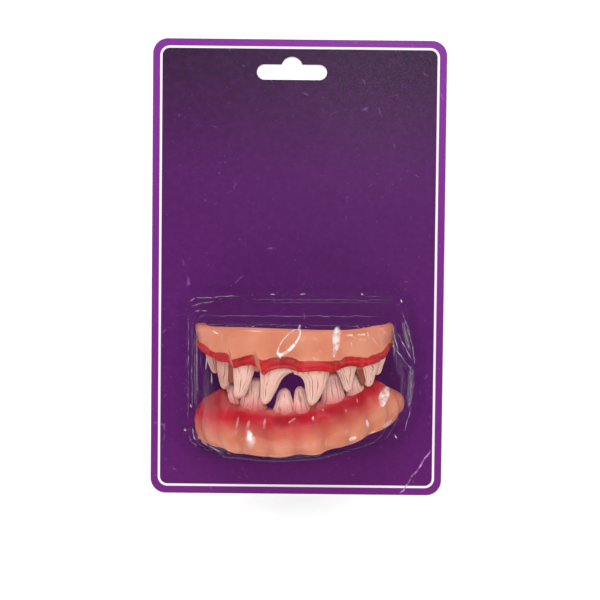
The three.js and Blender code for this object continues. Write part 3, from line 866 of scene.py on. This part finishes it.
# Heights of the margin by the teeth, of the far edge and of the spray's middle, by X
LOWER_MARGIN = [
    (-39.0, -1.6), (-36.5, -4.2), (-34.0, -6.0), (-31.9, -7.2), (-30.2, -7.2), (-28.4, -3.4),
    (-25.3, -1.4), (-21.5, -0.8), (-17.8, 0.2), (-12.0, 0.9), (-5.9, 2.3), (-2.9, 1.7),
    (0.1, 2.4), (3.2, 1.8), (6.0, -0.5), (12.2, -0.4), (16.5, -1.2), (20.6, -2.2), (24.6, -3.4),
    (27.0, -5.0), (29.2, -6.3), (32.0, -6.0), (34.7, -4.6), (37.0, -2.6), (39.0, -1.2),
]
LOWER_EDGE = [
    (-39.0, 12.6), (-36.4, 13.5), (-33.3, 13.8), (-30.0, 14.6), (-28.0, 15.6), (-24.0, 16.2),
    (-20.1, 16.4), (-16.4, 17.0), (-12.6, 17.5), (-8.9, 17.8), (-5.2, 17.5), (-1.5, 17.0),
    (2.1, 17.7), (5.8, 17.9), (7.7, 17.0), (10.4, 16.0), (13.4, 16.0), (17.2, 15.6),
    (21.1, 14.4), (25.2, 12.9), (28.5, 12.2), (31.4, 12.0), (33.7, 11.0), (36.1, 9.8),
    (39.0, 7.0),
]
LOWER_SPRAY = [
    (-39.0, 1.0), (-35.5, 1.6), (-31.4, 2.4), (-25.9, 2.6), (-20.0, 3.6), (-11.3, 5.2),
    (-5.6, 5.6), (0.9, 5.2), (6.7, 4.3), (14.0, 2.8), (21.6, 0.6), (26.3, -2.2), (31.0, -4.4),
    (39.0, -6.0),
]
LOWER_GROOVES = np.array(
    [-52.0, -43.0, -33.5, -23.4, -12.9, -2.1, 7.8, 16.4, 25.5, 35.0, 44.0, 52.0]
)
LOWER_GROOVE_WIDTH = 2.1


def lower_lobe(along):
    """The swelling along the lower arch, from 0 in a groove to 1 over a root."""
    away = np.min(np.abs(np.asarray(along)[..., None] - LOWER_GROOVES), axis=-1)
    return 1 - np.exp(-((away / LOWER_GROOVE_WIDTH) ** 2))


def lower_swell(along, up, above, band):
    """Lobes over the roots with a groove between each two, and an uneven shelf."""
    lobes = (lower_lobe(along) - 0.75) * 0.9 * np.clip((up - 0.14) / 0.34, 0, 1)
    left_end = min(max((-along - 30) / 14, 0), 1) * (1.2 + 2.4 * (1 - up) ** 2)
    return lobes + left_end + 0.3 * noise.noise(Vector((float(along) * 0.2, 4.4, 1.9))) * (1 - up)


def lower_gum_vinyl():
    """Flesh vinyl with an airbrushed band of red that fades both ways, pink by the teeth."""
    made, tree, shader, place = new_finish("lower_gum_vinyl")
    flesh, mottle, relief = gum_base(tree, place)
    above, along = tree.attribute("above_margin"), tree.attribute("along_arch")
    puffs = tree.noise(tree.joined(along, tree.times(above, 0.4)), 0.2, 3.0)
    uneven = tree.math("MULTIPLY_ADD", puffs, 2.4, -1.2)
    below = tree.minus(uneven, tree.attribute("below_paint"))
    fading = tree.math("POWER", tree.between(below, 9.5, 1.0, smooth=False), 1.2)
    red = tree.times(tree.between(below, -3.8, -1.2), fading)
    from_front = tree.between(tree.attribute("inward"), 9.0, 7.6)
    right_end = tree.between(along, 48.0, 32.0, 0.3, 1.0)
    red = tree.times(tree.times(red, right_end), from_front)
    shelf = tree.times(tree.between(below, 0.6, -1.6), from_front)
    pink = tree.mix(tree.between(puffs, 0.4, 0.62), srgb(184, 69, 76), srgb(204, 113, 109))
    at_side = tree.between(tree.math("ABSOLUTE", along), 23.0, 34.0)
    pink = tree.mix(at_side, pink, srgb(152, 30, 40))
    # The grooves between the lobes are darkened brown as painted shade.
    groove_shade = tree.times(tree.attribute("groove_shade"), tree.between(above, 3.0, 7.0, 0.0, 0.4))
    colour = tree.mix(groove_shade, flesh, srgb(176, 84, 66))
    colour = tree.mix(shelf, colour, pink)
    paint = tree.mix(mottle["Cloud"], srgb(162, 5, 26), srgb(192, 20, 40))
    colour = tree.mix(red, colour, paint)
    roughness = tree.between(mottle["Grain"], 0.3, 0.7, 0.38, 0.5)
    vinyl_looks(tree, shader, colour, roughness, relief, 0.06)
    return made


lower_gum = gum_piece(
    "lower_gum_arch", LOWER, LOWER_FACE, LOWER_MARGIN, LOWER_EDGE, LOWER_SPRAY, lower_swell
)
# How far each point lies in a groove between lobes, for the painted shade there.
along_arch = np.empty(len(lower_gum.data.vertices), np.float32)
lower_gum.data.attributes["along_arch"].data.foreach_get("value", along_arch)
mark_points(lower_gum.data, "groove_shade", 1 - lower_lobe(along_arch))
finished(lower_gum, "root", "lower_gum", lower_gum_vinyl())

# Lower teeth
# Six ribbed teeth of the same painted vinyl, rooted in the lower gum. The spray on the gum has
# caught their feet, so they fade from pink to a pinkish white at their round tips.
LOWER_TEETH = [
    dict(zip(TOOTH_COLUMNS, row))
    for row in (
        ("fang_left", -24.9, -0.2, 7.0, 4.0, 8.8, 0.6, 2.6, 1.8, 2.0, 0.8),
        ("canine_left", -17.4, 1.8, 9.2, 4.2, 12.4, 2.0, 6.6, 2.2, 0.8, 1.2),
        ("incisor_left", -5.8, 4.0, 7.4, 3.8, 10.3, 0.4, 3.0, 2.1, 2.0, 0.8),
        ("incisor_right", 0.3, 4.0, 6.0, 3.8, 10.6, 0.0, 2.8, 2.1, 0.8, 1.8),
        ("canine_right", 12.0, 2.6, 8.8, 4.2, 13.2, 0.1, 6.6, 1.5, 2.4, 0.8),
        ("fang_right", 20.4, 1.0, 8.4, 4.0, 10.8, -0.2, 4.8, 1.6, 1.4, 0.6),
    )
]
lower_enamel = enamel(
    "lower_enamel",
    crown=srgb(236, 190, 178),
    neck=srgb(204, 84, 88),
    stain_and_shade=srgb(184, 90, 88),
    tip=srgb(238, 198, 186),
    neck_reach=0.6,
)
set_teeth(
    "lower",
    LOWER,
    LOWER_TEETH,
    lower_enamel,
    groove_depth=0.34,
    curl=0.3,
    flare_reach=6.0,
)

# Blister
# One clear sheet, drawn by heat over a mould into a pocket, and sealed to the card by its flange.
# It hugs the lower gum at the bottom. It is thin, so handling has creased and dented it.
# White ridges laid along its creases are painted highlights and reflections of the lamps.
SHEET_BASE, SHEET_WALL, SHEET_EDGE = 0.65, 0.2, 0.03
ROOF_HEIGHT, ROOF_CROWN, RIM_RADIUS = 35.2, 0.6, 2.6
FLANGE_WIDTH = 4.5
# Each corner: X and Y at the base, X and Y at the rim, its radius, and the rim's height
POCKET_CORNERS = [
    (-41.2, -10.8, -35.2, -18.0, 5.0, 32.6),
    (-41.6, -67.0, -37.4, -66.4, 6.0, 14.0),
    (-30.0, -68.6, -26.0, -67.8, 14.0, 24.5),
    (-8.0, -70.2, -8.0, -68.4, 30.0, 29.6),
    (8.0, -69.6, 8.0, -67.4, 30.0, 29.6),
    (37.2, -65.0, 28.8, -61.8, 10.0, 27.5),
    (44.2, -50.0, 37.0, -48.0, 10.0, 30.6),
    (44.2, -34.0, 37.4, -36.0, 20.0, 32.6),
    (39.4, -10.8, 33.4, -18.0, 5.0, 32.6),
]
# Rings of the flange and its bend: how far in from the pocket's foot, and how high
FLANGE_RINGS = [
    (-FLANGE_WIDTH, SHEET_EDGE - SHEET_WALL),
    (-FLANGE_WIDTH * 0.8, 0.0),
    (-0.9, 0.0),
    (-0.35, 0.12),
    (-0.1, 0.4),
]
# Rings of the wall by its height, of the rim by its turn, and of the roof by the way out
WALL_SHARES = np.linspace(0.03, 1, 30)
RIM_TURNS = np.radians(np.linspace(12, 90, 7))
ROOF_SHARES = np.linspace(0.97, 0.015, 44)
CORNER_POINTS, EDGE_SPACING, LEAST_RADIUS, RIM_EASING = 10, 1.2, 0.6, 24
# Each crease with its painted highlight: X and Y of its start and of its end, half its width at
# each, and its whiteness
HIGHLIGHT_CREASES = [
    (14.2, -19.6, 12.9, -31.0, 1.7, 0.7, 0.8), (17.4, -23.0, 19.4, -22.8, 0.4, 0.3, 0.9),
    (20.8, -22.7, 23.9, -22.4, 0.25, 0.35, 0.8), (24.3, -21.3, 25.2, -24.4, 0.16, 0.14, 0.5),
    (-29.6, -21.8, -27.2, -22.9, 0.16, 0.3, 0.75), (-18.8, -21.6, -11.2, -21.8, 0.14, 0.1, 0.6),
    (0.5, -21.4, 1.0, -19.1, 0.5, 0.35, 0.55), (-6.4, -29.6, -5.6, -31.2, 0.6, 0.2, 0.8),
    (7.7, -27.8, 9.2, -30.2, 0.16, 0.12, 0.4), (5.4, -30.2, 7.2, -32.4, 0.12, 0.14, 0.35),
    (18.8, -25.0, 19.2, -27.0, 0.2, 0.14, 0.4), (25.7, -23.0, 28.2, -26.1, 0.14, 0.1, 0.3),
    (27.8, -21.2, 30.2, -24.7, 0.14, 0.1, 0.35), (29.5, -20.5, 31.9, -23.3, 0.14, 0.14, 0.35),
    (31.6, -40.6, 29.7, -47.8, 1.7, 1.4, 0.95), (-16.5, -56.0, -15.6, -63.0, 0.8, 1.8, 0.9),
    (18.4, -59.8, 21.4, -58.7, 0.95, 0.7, 0.9), (30.7, -55.8, 33.6, -52.7, 0.8, 0.7, 0.85),
    (26.0, -57.5, 28.1, -56.6, 0.28, 0.24, 0.7), (-10.9, -52.0, -11.2, -56.2, 0.35, 0.5, 0.26),
    (-2.9, -53.6, -0.1, -51.8, 0.25, 0.45, 0.65), (5.8, -51.1, 5.7, -52.9, 0.4, 0.4, 0.6),
    (-20.4, -51.6, -21.2, -58.7, 0.3, 0.5, 0.26), (-16.1, -52.6, -17.6, -57.4, 0.5, 0.7, 0.28),
    (9.1, -48.4, 9.5, -49.5, 0.34, 0.3, 0.4), (17.0, -48.5, 17.6, -49.7, 0.38, 0.3, 0.35),
    (21.0, -44.6, 21.3, -46.4, 0.24, 0.2, 0.3), (24.7, -52.1, 25.2, -55.8, 0.4, 0.6, 0.45),
    (-31.6, -30.6, -31.8, -35.8, 0.2, 0.3, 0.4), (-30.1, -36.7, -29.8, -41.2, 0.3, 0.2, 0.35),
    (36.9, -62.0, 38.1, -64.0, 0.24, 0.3, 0.9), (-40.9, -16.0, -40.7, -59.0, 0.2, 0.16, 0.4),
    (-38.2, -18.0, -38.5, -52.0, 0.24, 0.2, 0.32), (-36.5, -22.0, -36.8, -50.0, 0.3, 0.24, 0.28),
    (-35.2, -20.0, -35.4, -46.0, 0.2, 0.2, 0.28), (-39.1, -50.6, -38.9, -51.9, 0.4, 0.35, 0.95),
    (-42.1, -60.9, -41.9, -62.0, 0.5, 0.5, 0.9), (-38.4, -59.0, -37.2, -63.4, 0.24, 0.5, 0.75),
    (-36.0, -60.6, -35.4, -62.8, 0.16, 0.24, 0.65), (-40.4, -62.4, -39.8, -65.8, 0.16, 0.3, 0.55),
    (-39.8, -65.8, -36.8, -67.0, 0.2, 0.14, 0.5), (-34.8, -63.0, -31.9, -64.9, 0.2, 0.2, 0.55),
    (-31.9, -64.9, -25.8, -65.6, 0.2, 0.12, 0.45), (-40.9, -12.9, -38.5, -11.6, 0.12, 0.16, 0.5),
    (-38.5, -11.6, -21.0, -10.5, 0.16, 0.1, 0.55), (-39.5, -14.4, -35.4, -13.1, 0.14, 0.24, 0.4),
    (-35.4, -13.1, -30.5, -12.5, 0.24, 0.1, 0.35), (-37.6, -16.0, -35.2, -15.4, 0.14, 0.14, 0.45),
    (-35.2, -15.4, -32.4, -15.6, 0.14, 0.1, 0.4), (-20.0, -11.8, 37.0, -11.5, 0.1, 0.1, 0.2),
    (-18.0, -12.7, 36.0, -12.3, 0.12, 0.08, 0.14), (-33.0, -16.9, 31.0, -16.6, 0.14, 0.14, 0.2),
    (35.3, -57.7, 32.6, -62.5, 0.14, 0.1, 0.25), (-11.0, -9.9, -8.4, -9.9, 0.2, 0.14, 0.7),
    (0.7, -9.9, 3.2, -9.5, 0.14, 0.2, 0.6), (23.8, -9.2, 24.6, -9.9, 0.16, 0.34, 0.8),
    (38.8, -11.2, 39.4, -12.6, 0.24, 0.34, 0.8), (33.2, -19.6, 35.2, -28.6, 0.16, 0.12, 0.5),
    (38.9, -15.1, 43.3, -28.5, 0.14, 0.2, 0.5), (43.3, -28.5, 44.3, -36.0, 0.2, 0.14, 0.4),
    (40.3, -18.2, 44.0, -30.4, 0.12, 0.16, 0.4), (35.7, -22.3, 42.9, -33.8, 0.16, 0.24, 0.55),
    (33.4, -26.1, 38.8, -33.0, 0.14, 0.2, 0.5), (38.8, -33.0, 44.0, -38.6, 0.2, 0.12, 0.45),
    (38.4, -19.0, 42.5, -31.0, 1.2, 0.8, 0.32), (37.5, -52.5, 35.3, -57.7, 0.14, 0.14, 0.3),
    (42.2, -35.0, 42.0, -51.4, 1.9, 1.7, 0.36), (43.5, -51.0, 40.8, -61.4, 0.16, 0.12, 0.45),
]
# A loop of painted highlight round a dent in the roof: X and Y of its middle, half its length and
# width, its turn
HIGHLIGHT_LOOP = (-2.8, -25.4, 5.6, 2.0, 50.0)
LOOP_GAP, LOOP_POINTS = 0.02, 73
CREASE_RISE, CREASE_SUNK, CREASE_STEP, CREASE_SIDES = 0.07, 0.03, 0.5, 7
# Each dent: X and Y of its middle, half its length and width, its turn, and its depth
ROOF_DENTS = [
    (-3.6, -24.6, 6.2, 2.0, 52.0, 0.55),
    (13.2, -26.0, 5.4, 1.4, 84.0, 0.5),
    (-24.0, -22.0, 5.0, 1.6, 20.0, 0.35),
    (24.0, -30.0, 7.0, 1.6, -40.0, 0.4),
    (20.0, -22.4, 4.0, 1.2, -18.0, 0.35),
    (-8.0, -46.0, 9.0, 3.0, 12.0, 0.25),
]


def pocket_loop(climb, drawn_in, counts):
    """The pocket's outline at a share of the way from base to rim, with round corners."""
    corners, radii, arcs = [], [], []
    for base_x, base_y, rim_x, rim_y, radius, _ in POCKET_CORNERS:
        x, y = base_x + (rim_x - base_x) * climb, base_y + (rim_y - base_y) * climb
        corners.append(Vector((x, y)))
        radii.append(max(radius - drawn_in, LEAST_RADIUS))
    for i, (corner, radius) in enumerate(zip(corners, radii)):
        before = (corner - corners[i - 1]).normalized()
        after = (corners[(i + 1) % len(corners)] - corner).normalized()
        turn = math.atan2(before.x * after.y - before.y * after.x, before.dot(after))
        centre = corner + (after - before).normalized() * (drawn_in + radius) / math.cos(turn / 2)
        start = math.degrees(math.atan2(-before.x, before.y))
        end = start + math.degrees(turn)
        arcs.append(arc(centre.x, centre.y, radius, start, end, CORNER_POINTS))
    loop = []
    for i, points in enumerate(arcs):
        first = Vector(arcs[(i + 1) % len(arcs)][0])
        last = Vector(points[-1])
        loop += points
        loop += [tuple(last.lerp(first, (k + 1) / (counts[i] + 1))) for k in range(counts[i])]
    return np.array(loop)


def rim_heights(counts):
    """The rim's height at each point of the outline, eased from corner to corner."""
    corners = [height for *_, height in POCKET_CORNERS]
    heights = []
    for corner, after, count in zip(corners, corners[1:] + corners[:1], counts):
        heights += [corner] * CORNER_POINTS
        heights += [corner + (after - corner) * (k + 1) / (count + 1) for k in range(count)]
    heights = np.array(heights)
    for _ in range(RIM_EASING):
        heights = (np.roll(heights, 1) + 2 * heights + np.roll(heights, -1)) / 4
    return heights


def ripple(points, scale, seed):
    """Smooth bumps between -1 and 1 at points, from a fixed field."""
    shift = Vector((seed * 17.3, seed * 5.1, seed * 9.7))
    return np.array([noise.noise(Vector(p) * scale + shift) for p in points])


def roof_dent(x, y):
    """How far the roof is pushed in at a point."""
    depth = np.zeros_like(x)
    for middle_x, middle_y, long, short, turn, deep in ROOF_DENTS:
        c, s = math.cos(math.radians(turn)), math.sin(math.radians(turn))
        u = ((x - middle_x) * c + (y - middle_y) * s) / long
        v = (-(x - middle_x) * s + (y - middle_y) * c) / short
        depth += deep * np.exp(-(u**2 + v**2))
    return depth


def creased(points, middle, wall, roof):
    """Pushes the walls in along creases and the roof down in dents."""
    folds = ripple(points * (1.0, 1.0, 0.35), 0.16, seed=3)
    folds += 0.5 * ripple(points * (1.0, 1.0, 0.5), 0.45, seed=5)
    sharp = 1 - np.abs(ripple(points * (0.5, 0.5, 1.4), 0.2, seed=8)) * 4
    push = wall * (0.3 * folds + 0.3 * np.clip(sharp, 0, 1))
    away = points[:, :2] - middle
    away /= np.maximum(np.linalg.norm(away, axis=1, keepdims=True), 1e-6)
    moved = points.copy()
    moved[:, :2] -= away * (push * wall)[:, None]
    plan = points * (1.0, 1.0, 0.0)
    waves = 0.16 * ripple(plan, 0.12, seed=11) + 0.05 * ripple(plan, 0.4, seed=12)
    low = np.clip((-48 - points[:, 1]) / 10, 0, 1)
    drape = 0.3 * ripple(points * (1.0, 0.2, 0.0), 0.32, seed=13) * low
    moved[:, 2] -= roof * (roof_dent(points[:, 0], points[:, 1]) + 0.2 + waves + drape)
    return moved


def draw_blister():
    """The pocket and flange as rings of points, creased and dented, then given a thickness."""
    corners = [Vector(corner[:2]) for corner in POCKET_CORNERS]
    lengths = [(after - c).length for c, after in zip(corners, corners[1:] + corners[:1])]
    counts = [max(2, int(length / EDGE_SPACING)) for length in lengths]
    heights = rim_heights(counts)
    rings, pushed = [], []
    for drawn, lift in FLANGE_RINGS:
        foot = 0 * heights + (SHEET_BASE + SHEET_WALL) + lift
        rings.append((pocket_loop(0, drawn, counts), foot))
        pushed.append((0.0, 0.0))
    for climb in WALL_SHARES:
        rings.append((pocket_loop(climb, 0, counts), SHEET_BASE + heights * climb))
        pushed.append((min(climb * 8, 1) * min((1 - climb) * 12, 1), 0.0))
    for turn in RIM_TURNS:
        drawn = RIM_RADIUS * (1 - math.cos(turn))
        rise = SHEET_BASE + heights + RIM_RADIUS * math.sin(turn)
        rings.append((pocket_loop(1, drawn, counts), rise))
        pushed.append((0.0, 0.2 * math.sin(turn)))
    edge, edge_height = rings[-1]
    middle = edge.mean(axis=0)
    for share in ROOF_SHARES:
        crown = SHEET_BASE + ROOF_HEIGHT + ROOF_CROWN * (1 - share**2)
        sag = (edge_height - SHEET_BASE - ROOF_HEIGHT) * share**6
        rings.append((middle + (edge - middle) * share, crown + sag))
        pushed.append((0.0, 1.0))
    points = np.concatenate([np.column_stack(ring) for ring in rings])
    wall, roof = np.repeat(np.array(pushed), len(edge), axis=0).T
    points = creased(points, middle, wall, roof)
    index, faces = ring_faces(len(rings), len(edge))
    faces.append(index[-1].tolist())
    mesh = bpy.data.meshes.new("blister_sheet")
    mesh.from_pydata((points * MM).tolist(), [], faces)
    mesh.validate()
    soft = mesh_object("blister_sheet", mesh)
    full = soft.vertex_groups.new(name="full_thickness")
    full.add(index[1:].reshape(-1).tolist(), 1.0, "REPLACE")
    sheet = soft.modifiers.new("sheet_thickness", "SOLIDIFY")
    sheet.thickness = SHEET_WALL * MM
    sheet.offset = -1.0
    sheet.vertex_group = full.name
    sheet.thickness_vertex_group = SHEET_EDGE / SHEET_WALL
    return mesh_object("blister_sheet", plain_mesh(soft))


def highlight_crease_paths():
    """Each crease as points on the plan, with half widths and the whiteness of its painted
    highlight along it.
    """
    for number, (x, y, end_x, end_y, half, end_half, highlight_share) in enumerate(HIGHLIGHT_CREASES):
        length = math.hypot(end_x - x, end_y - y)
        share = np.linspace(0, 1, max(6, int(length / CREASE_STEP)) + 1)
        points = np.column_stack([x + (end_x - x) * share, y + (end_y - y) * share])
        flat = np.column_stack([points, 0 * share])
        waver = np.column_stack([ripple(flat, 0.35, number + seed) for seed in (20, 120)])
        points += 0.35 * min(length / 6, 1) * waver
        plump = 0.25 + 1.1 * np.sin(np.pi * np.clip(share, 0.02, 0.98)) ** 0.6
        patchy = np.clip(0.8 + 0.5 * ripple(flat, 0.5, number + 60), 0.4, 1)
        fading = np.clip(np.minimum(share, 1 - share) * 12, 0, 1)
        yield points, (half + (end_half - half) * share) * plump, highlight_share * patchy * fading
    middle_x, middle_y, long, short, turn = HIGHLIGHT_LOOP
    angle = np.linspace(LOOP_GAP, 2 * math.pi - LOOP_GAP, LOOP_POINTS)
    u, v = long * np.cos(angle), short * np.sin(angle)
    c, s = math.cos(math.radians(turn)), math.sin(math.radians(turn))
    near = np.clip(0.45 - 0.45 * np.cos(angle) - 0.5 * np.sin(angle), 0, 1)
    points = np.column_stack([middle_x + u * c - v * s, middle_y + u * s + v * c])
    yield points, 0.24 + 0.5 * near**2, 0.6 + 0.35 * near


def raise_highlight_creases(sheet):
    """The creases as low ridges on the sheet, closed below, with painted highlight whitest along
    the fold.
    """
    surface = BVHTree.FromObject(sheet, bpy.context.evaluated_depsgraph_get())
    sides = np.linspace(-1, 1, CREASE_SIDES)
    vertices, folds, undersides, highlight_strength = [], [], [], []
    for points, halves, highlight_share in highlight_crease_paths():
        way = np.gradient(points, axis=0)
        way /= np.linalg.norm(way, axis=1, keepdims=True)
        first = len(vertices)
        for (x, y), (along_x, along_y), half, strength in zip(points, way, halves, highlight_share):
            for side in sides:
                beside_x, beside_y = x - along_y * half * side, y + along_x * half * side
                above = Vector((beside_x, beside_y, 2 * ROOF_HEIGHT)) * MM
                spot, out, _, _ = surface.ray_cast(above, Vector((0, 0, -1)))
                ridge = 1 - side**2
                vertices.append(spot + out * (CREASE_RISE * ridge - CREASE_SUNK) * MM)
                highlight_strength.append(strength * ridge)
        index = np.arange(first, len(vertices)).reshape(len(points), len(sides))
        quads = np.stack([index[:-1, :-1], index[1:, :-1], index[1:, 1:], index[:-1, 1:]], axis=-1)
        folds += quads.reshape(-1, 4).tolist()
        below = [index[:-1, 0], index[:-1, -1], index[1:, -1], index[1:, 0]]
        undersides += np.stack(below, axis=-1).tolist()
        undersides += [index[0].tolist(), index[-1][::-1].tolist()]
    mesh = bpy.data.meshes.new("blister_highlight_creases")
    mesh.from_pydata(vertices, [], folds + undersides)
    mark_points(mesh, "highlight_strength", highlight_strength)
    ridges = mesh_object("blister_highlight_creases", mesh)
    mesh.polygons.foreach_set("use_smooth", [True] * len(folds) + [False] * len(undersides))
    return ridges


def see_through(made, tree, share, surface, tint):
    """Ends a finish in a share of a surface, and lets the rest of the light straight through."""
    through = tree.node("ShaderNodeBsdfTransparent", {"Color": tint})
    ends = {0: share, 1: through.outputs[0], 2: surface.outputs[0]}
    mixed = tree.node("ShaderNodeMixShader", ends)
    tree.put(made.node_tree.nodes["Material Output"].inputs["Surface"], mixed.outputs[0])
    return made


def painted_highlight():
    """Painted highlight and reflection on the sheet's creases: white along the fold, clear beside
    it.
    """
    made, tree, shader, place = new_finish("painted_highlight")
    grain = tree.noise(place, 900.0, 3.0)
    looks = {
        "Base Color": srgb(250, 246, 246),
        "Roughness": tree.between(grain, 0.3, 0.7, 0.25, 0.4),
        "Normal": tree.bump(grain, 0.2, 0.2 * MM),
    }
    tree.feed(shader, looks)
    patchy = tree.between(tree.noise(place, 420.0, 2.0), 0.36, 0.58, 0.35, 1.0)
    highlight_share = tree.times(tree.attribute("highlight_strength"), patchy, clamp=True)
    return see_through(made, tree, highlight_share, shader, (1, 1, 1, 1))


def clear_sheet():
    """Clear sheet: light passes straight through, and it mirrors more the flatter it is seen."""
    made, tree, shader, place = new_finish("clear_sheet")
    made.node_tree.nodes.remove(shader)
    haze = tree.noise(place, 60.0, 4.0)
    drawn_at = tree.vector("MULTIPLY", place, (700.0, 60.0, 140.0))
    drawn_lines = tree.noise(drawn_at, 1.0, 2.0)
    relief = tree.bump(drawn_lines, 0.5, 0.6 * MM)
    mirror = tree.node("ShaderNodeBsdfGlossy", {"Color": (1, 1, 1, 1), "Normal": relief})
    tree.put(mirror.inputs["Roughness"], tree.between(haze, 0.3, 0.8, 0.03, 0.1))
    facing = tree.node("ShaderNodeLayerWeight", {"Blend": 0.5, "Normal": relief}).outputs["Facing"]
    sheen = tree.math("MULTIPLY_ADD", tree.math("POWER", facing, 4.0), 0.15, 0.0045)
    streaks = tree.between(drawn_lines, 0.62, 0.8, 0.0, 0.03)
    loose = tree.between(tree.axes(place)["Z"], 0.9 * MM, 1.6 * MM, 0.25, 1.0)
    share = tree.times(tree.plus(sheen, streaks, clamp=True), loose)
    return see_through(made, tree, share, mirror, (0.985, 0.985, 0.99, 1))


blister = draw_blister()
finished(blister, "root", "blister", clear_sheet())
finished(raise_highlight_creases(blister), "root", "blister", painted_highlight())

# Floor, lights and camera
# A plain white floor under the card and a camera over it. Soft lamps stand round a dark space
# overhead, so that the clear sheet mirrors only the lamps.
FLOOR_SIZE, FLOOR_DROP = 2.4, 0.02 * MM
TEETH_MIDDLE = (0.0, -0.042, 0.02)
# Each lamp: its name, where it stands in metres, its two sides, and its watts
LAMPS = [
    ("top_softbox", (-0.05, 0.62, 0.62), 0.9, 0.35, 4.6),
    ("bottom_softbox", (-0.1, -0.6, 0.5), 0.5, 0.36, 2.6),
    ("left_softbox", (-0.7, 0.0, 0.5), 0.3, 0.8, 2.5),
    ("right_softbox", (0.7, 0.05, 0.5), 0.3, 0.8, 2.8),
    ("ceiling_lamp", (0.1, 0.24, 0.95), 0.12, 0.12, 1.2),
]
ROOM_LIGHT = 0.18
CAMERA_PLACE, CAMERA_ANGLE = (0.00072, 0.00373, 0.45), 28.22
CAMERA_TILT, CAMERA_TURN = -2.0, 0.59


def lay_floor():
    """The floor, a broad square just under the card."""
    half = FLOOR_SIZE / 2
    corners = [(-half, -half), (half, -half), (half, half), (-half, half)]
    mesh = bpy.data.meshes.new("floor")
    mesh.from_pydata([(x, y, -FLOOR_DROP) for x, y in corners], [], [(0, 1, 2, 3)])
    floor = mesh_object("floor", mesh, smooth=False)
    made, tree, shader, place = new_finish("floor_white")
    cloudy = tree.mix(tree.noise(place, 30.0, 2.0), srgb(250, 250, 250), srgb(246, 246, 247))
    tree.feed(shader, {"Base Color": cloudy, "Roughness": 0.9, "Specular IOR Level": 0.1})
    mesh.materials.append(made)


lay_floor()
for name, place, width, depth, watts in LAMPS:
    light = bpy.data.lights.new(name, "AREA")
    light.shape = "RECTANGLE"
    light.size, light.size_y = width, depth
    light.energy = watts
    lamp = bpy.data.objects.new(name, light)
    bpy.context.collection.objects.link(lamp)
    lamp.location = place
    way = Vector(TEETH_MIDDLE) - Vector(place)
    lamp.rotation_euler = way.to_track_quat("-Z", "Y").to_euler()

world = bpy.data.worlds.new("studio")
world.use_nodes = True
world.node_tree.nodes["Background"].inputs["Color"].default_value = (1, 1, 1, 1)
world.node_tree.nodes["Background"].inputs["Strength"].default_value = ROOM_LIGHT
bpy.context.scene.world = world
bpy.context.scene.view_settings.view_transform = "Standard"

camera = bpy.data.cameras.new("camera")
camera.sensor_fit = "HORIZONTAL"
camera.angle = math.radians(CAMERA_ANGLE)
eye = bpy.data.objects.new("camera", camera)
eye.location = CAMERA_PLACE
eye.rotation_euler = (math.radians(CAMERA_TILT), 0.0, math.radians(CAMERA_TURN))
bpy.context.collection.objects.link(eye)
bpy.context.scene.camera = eye
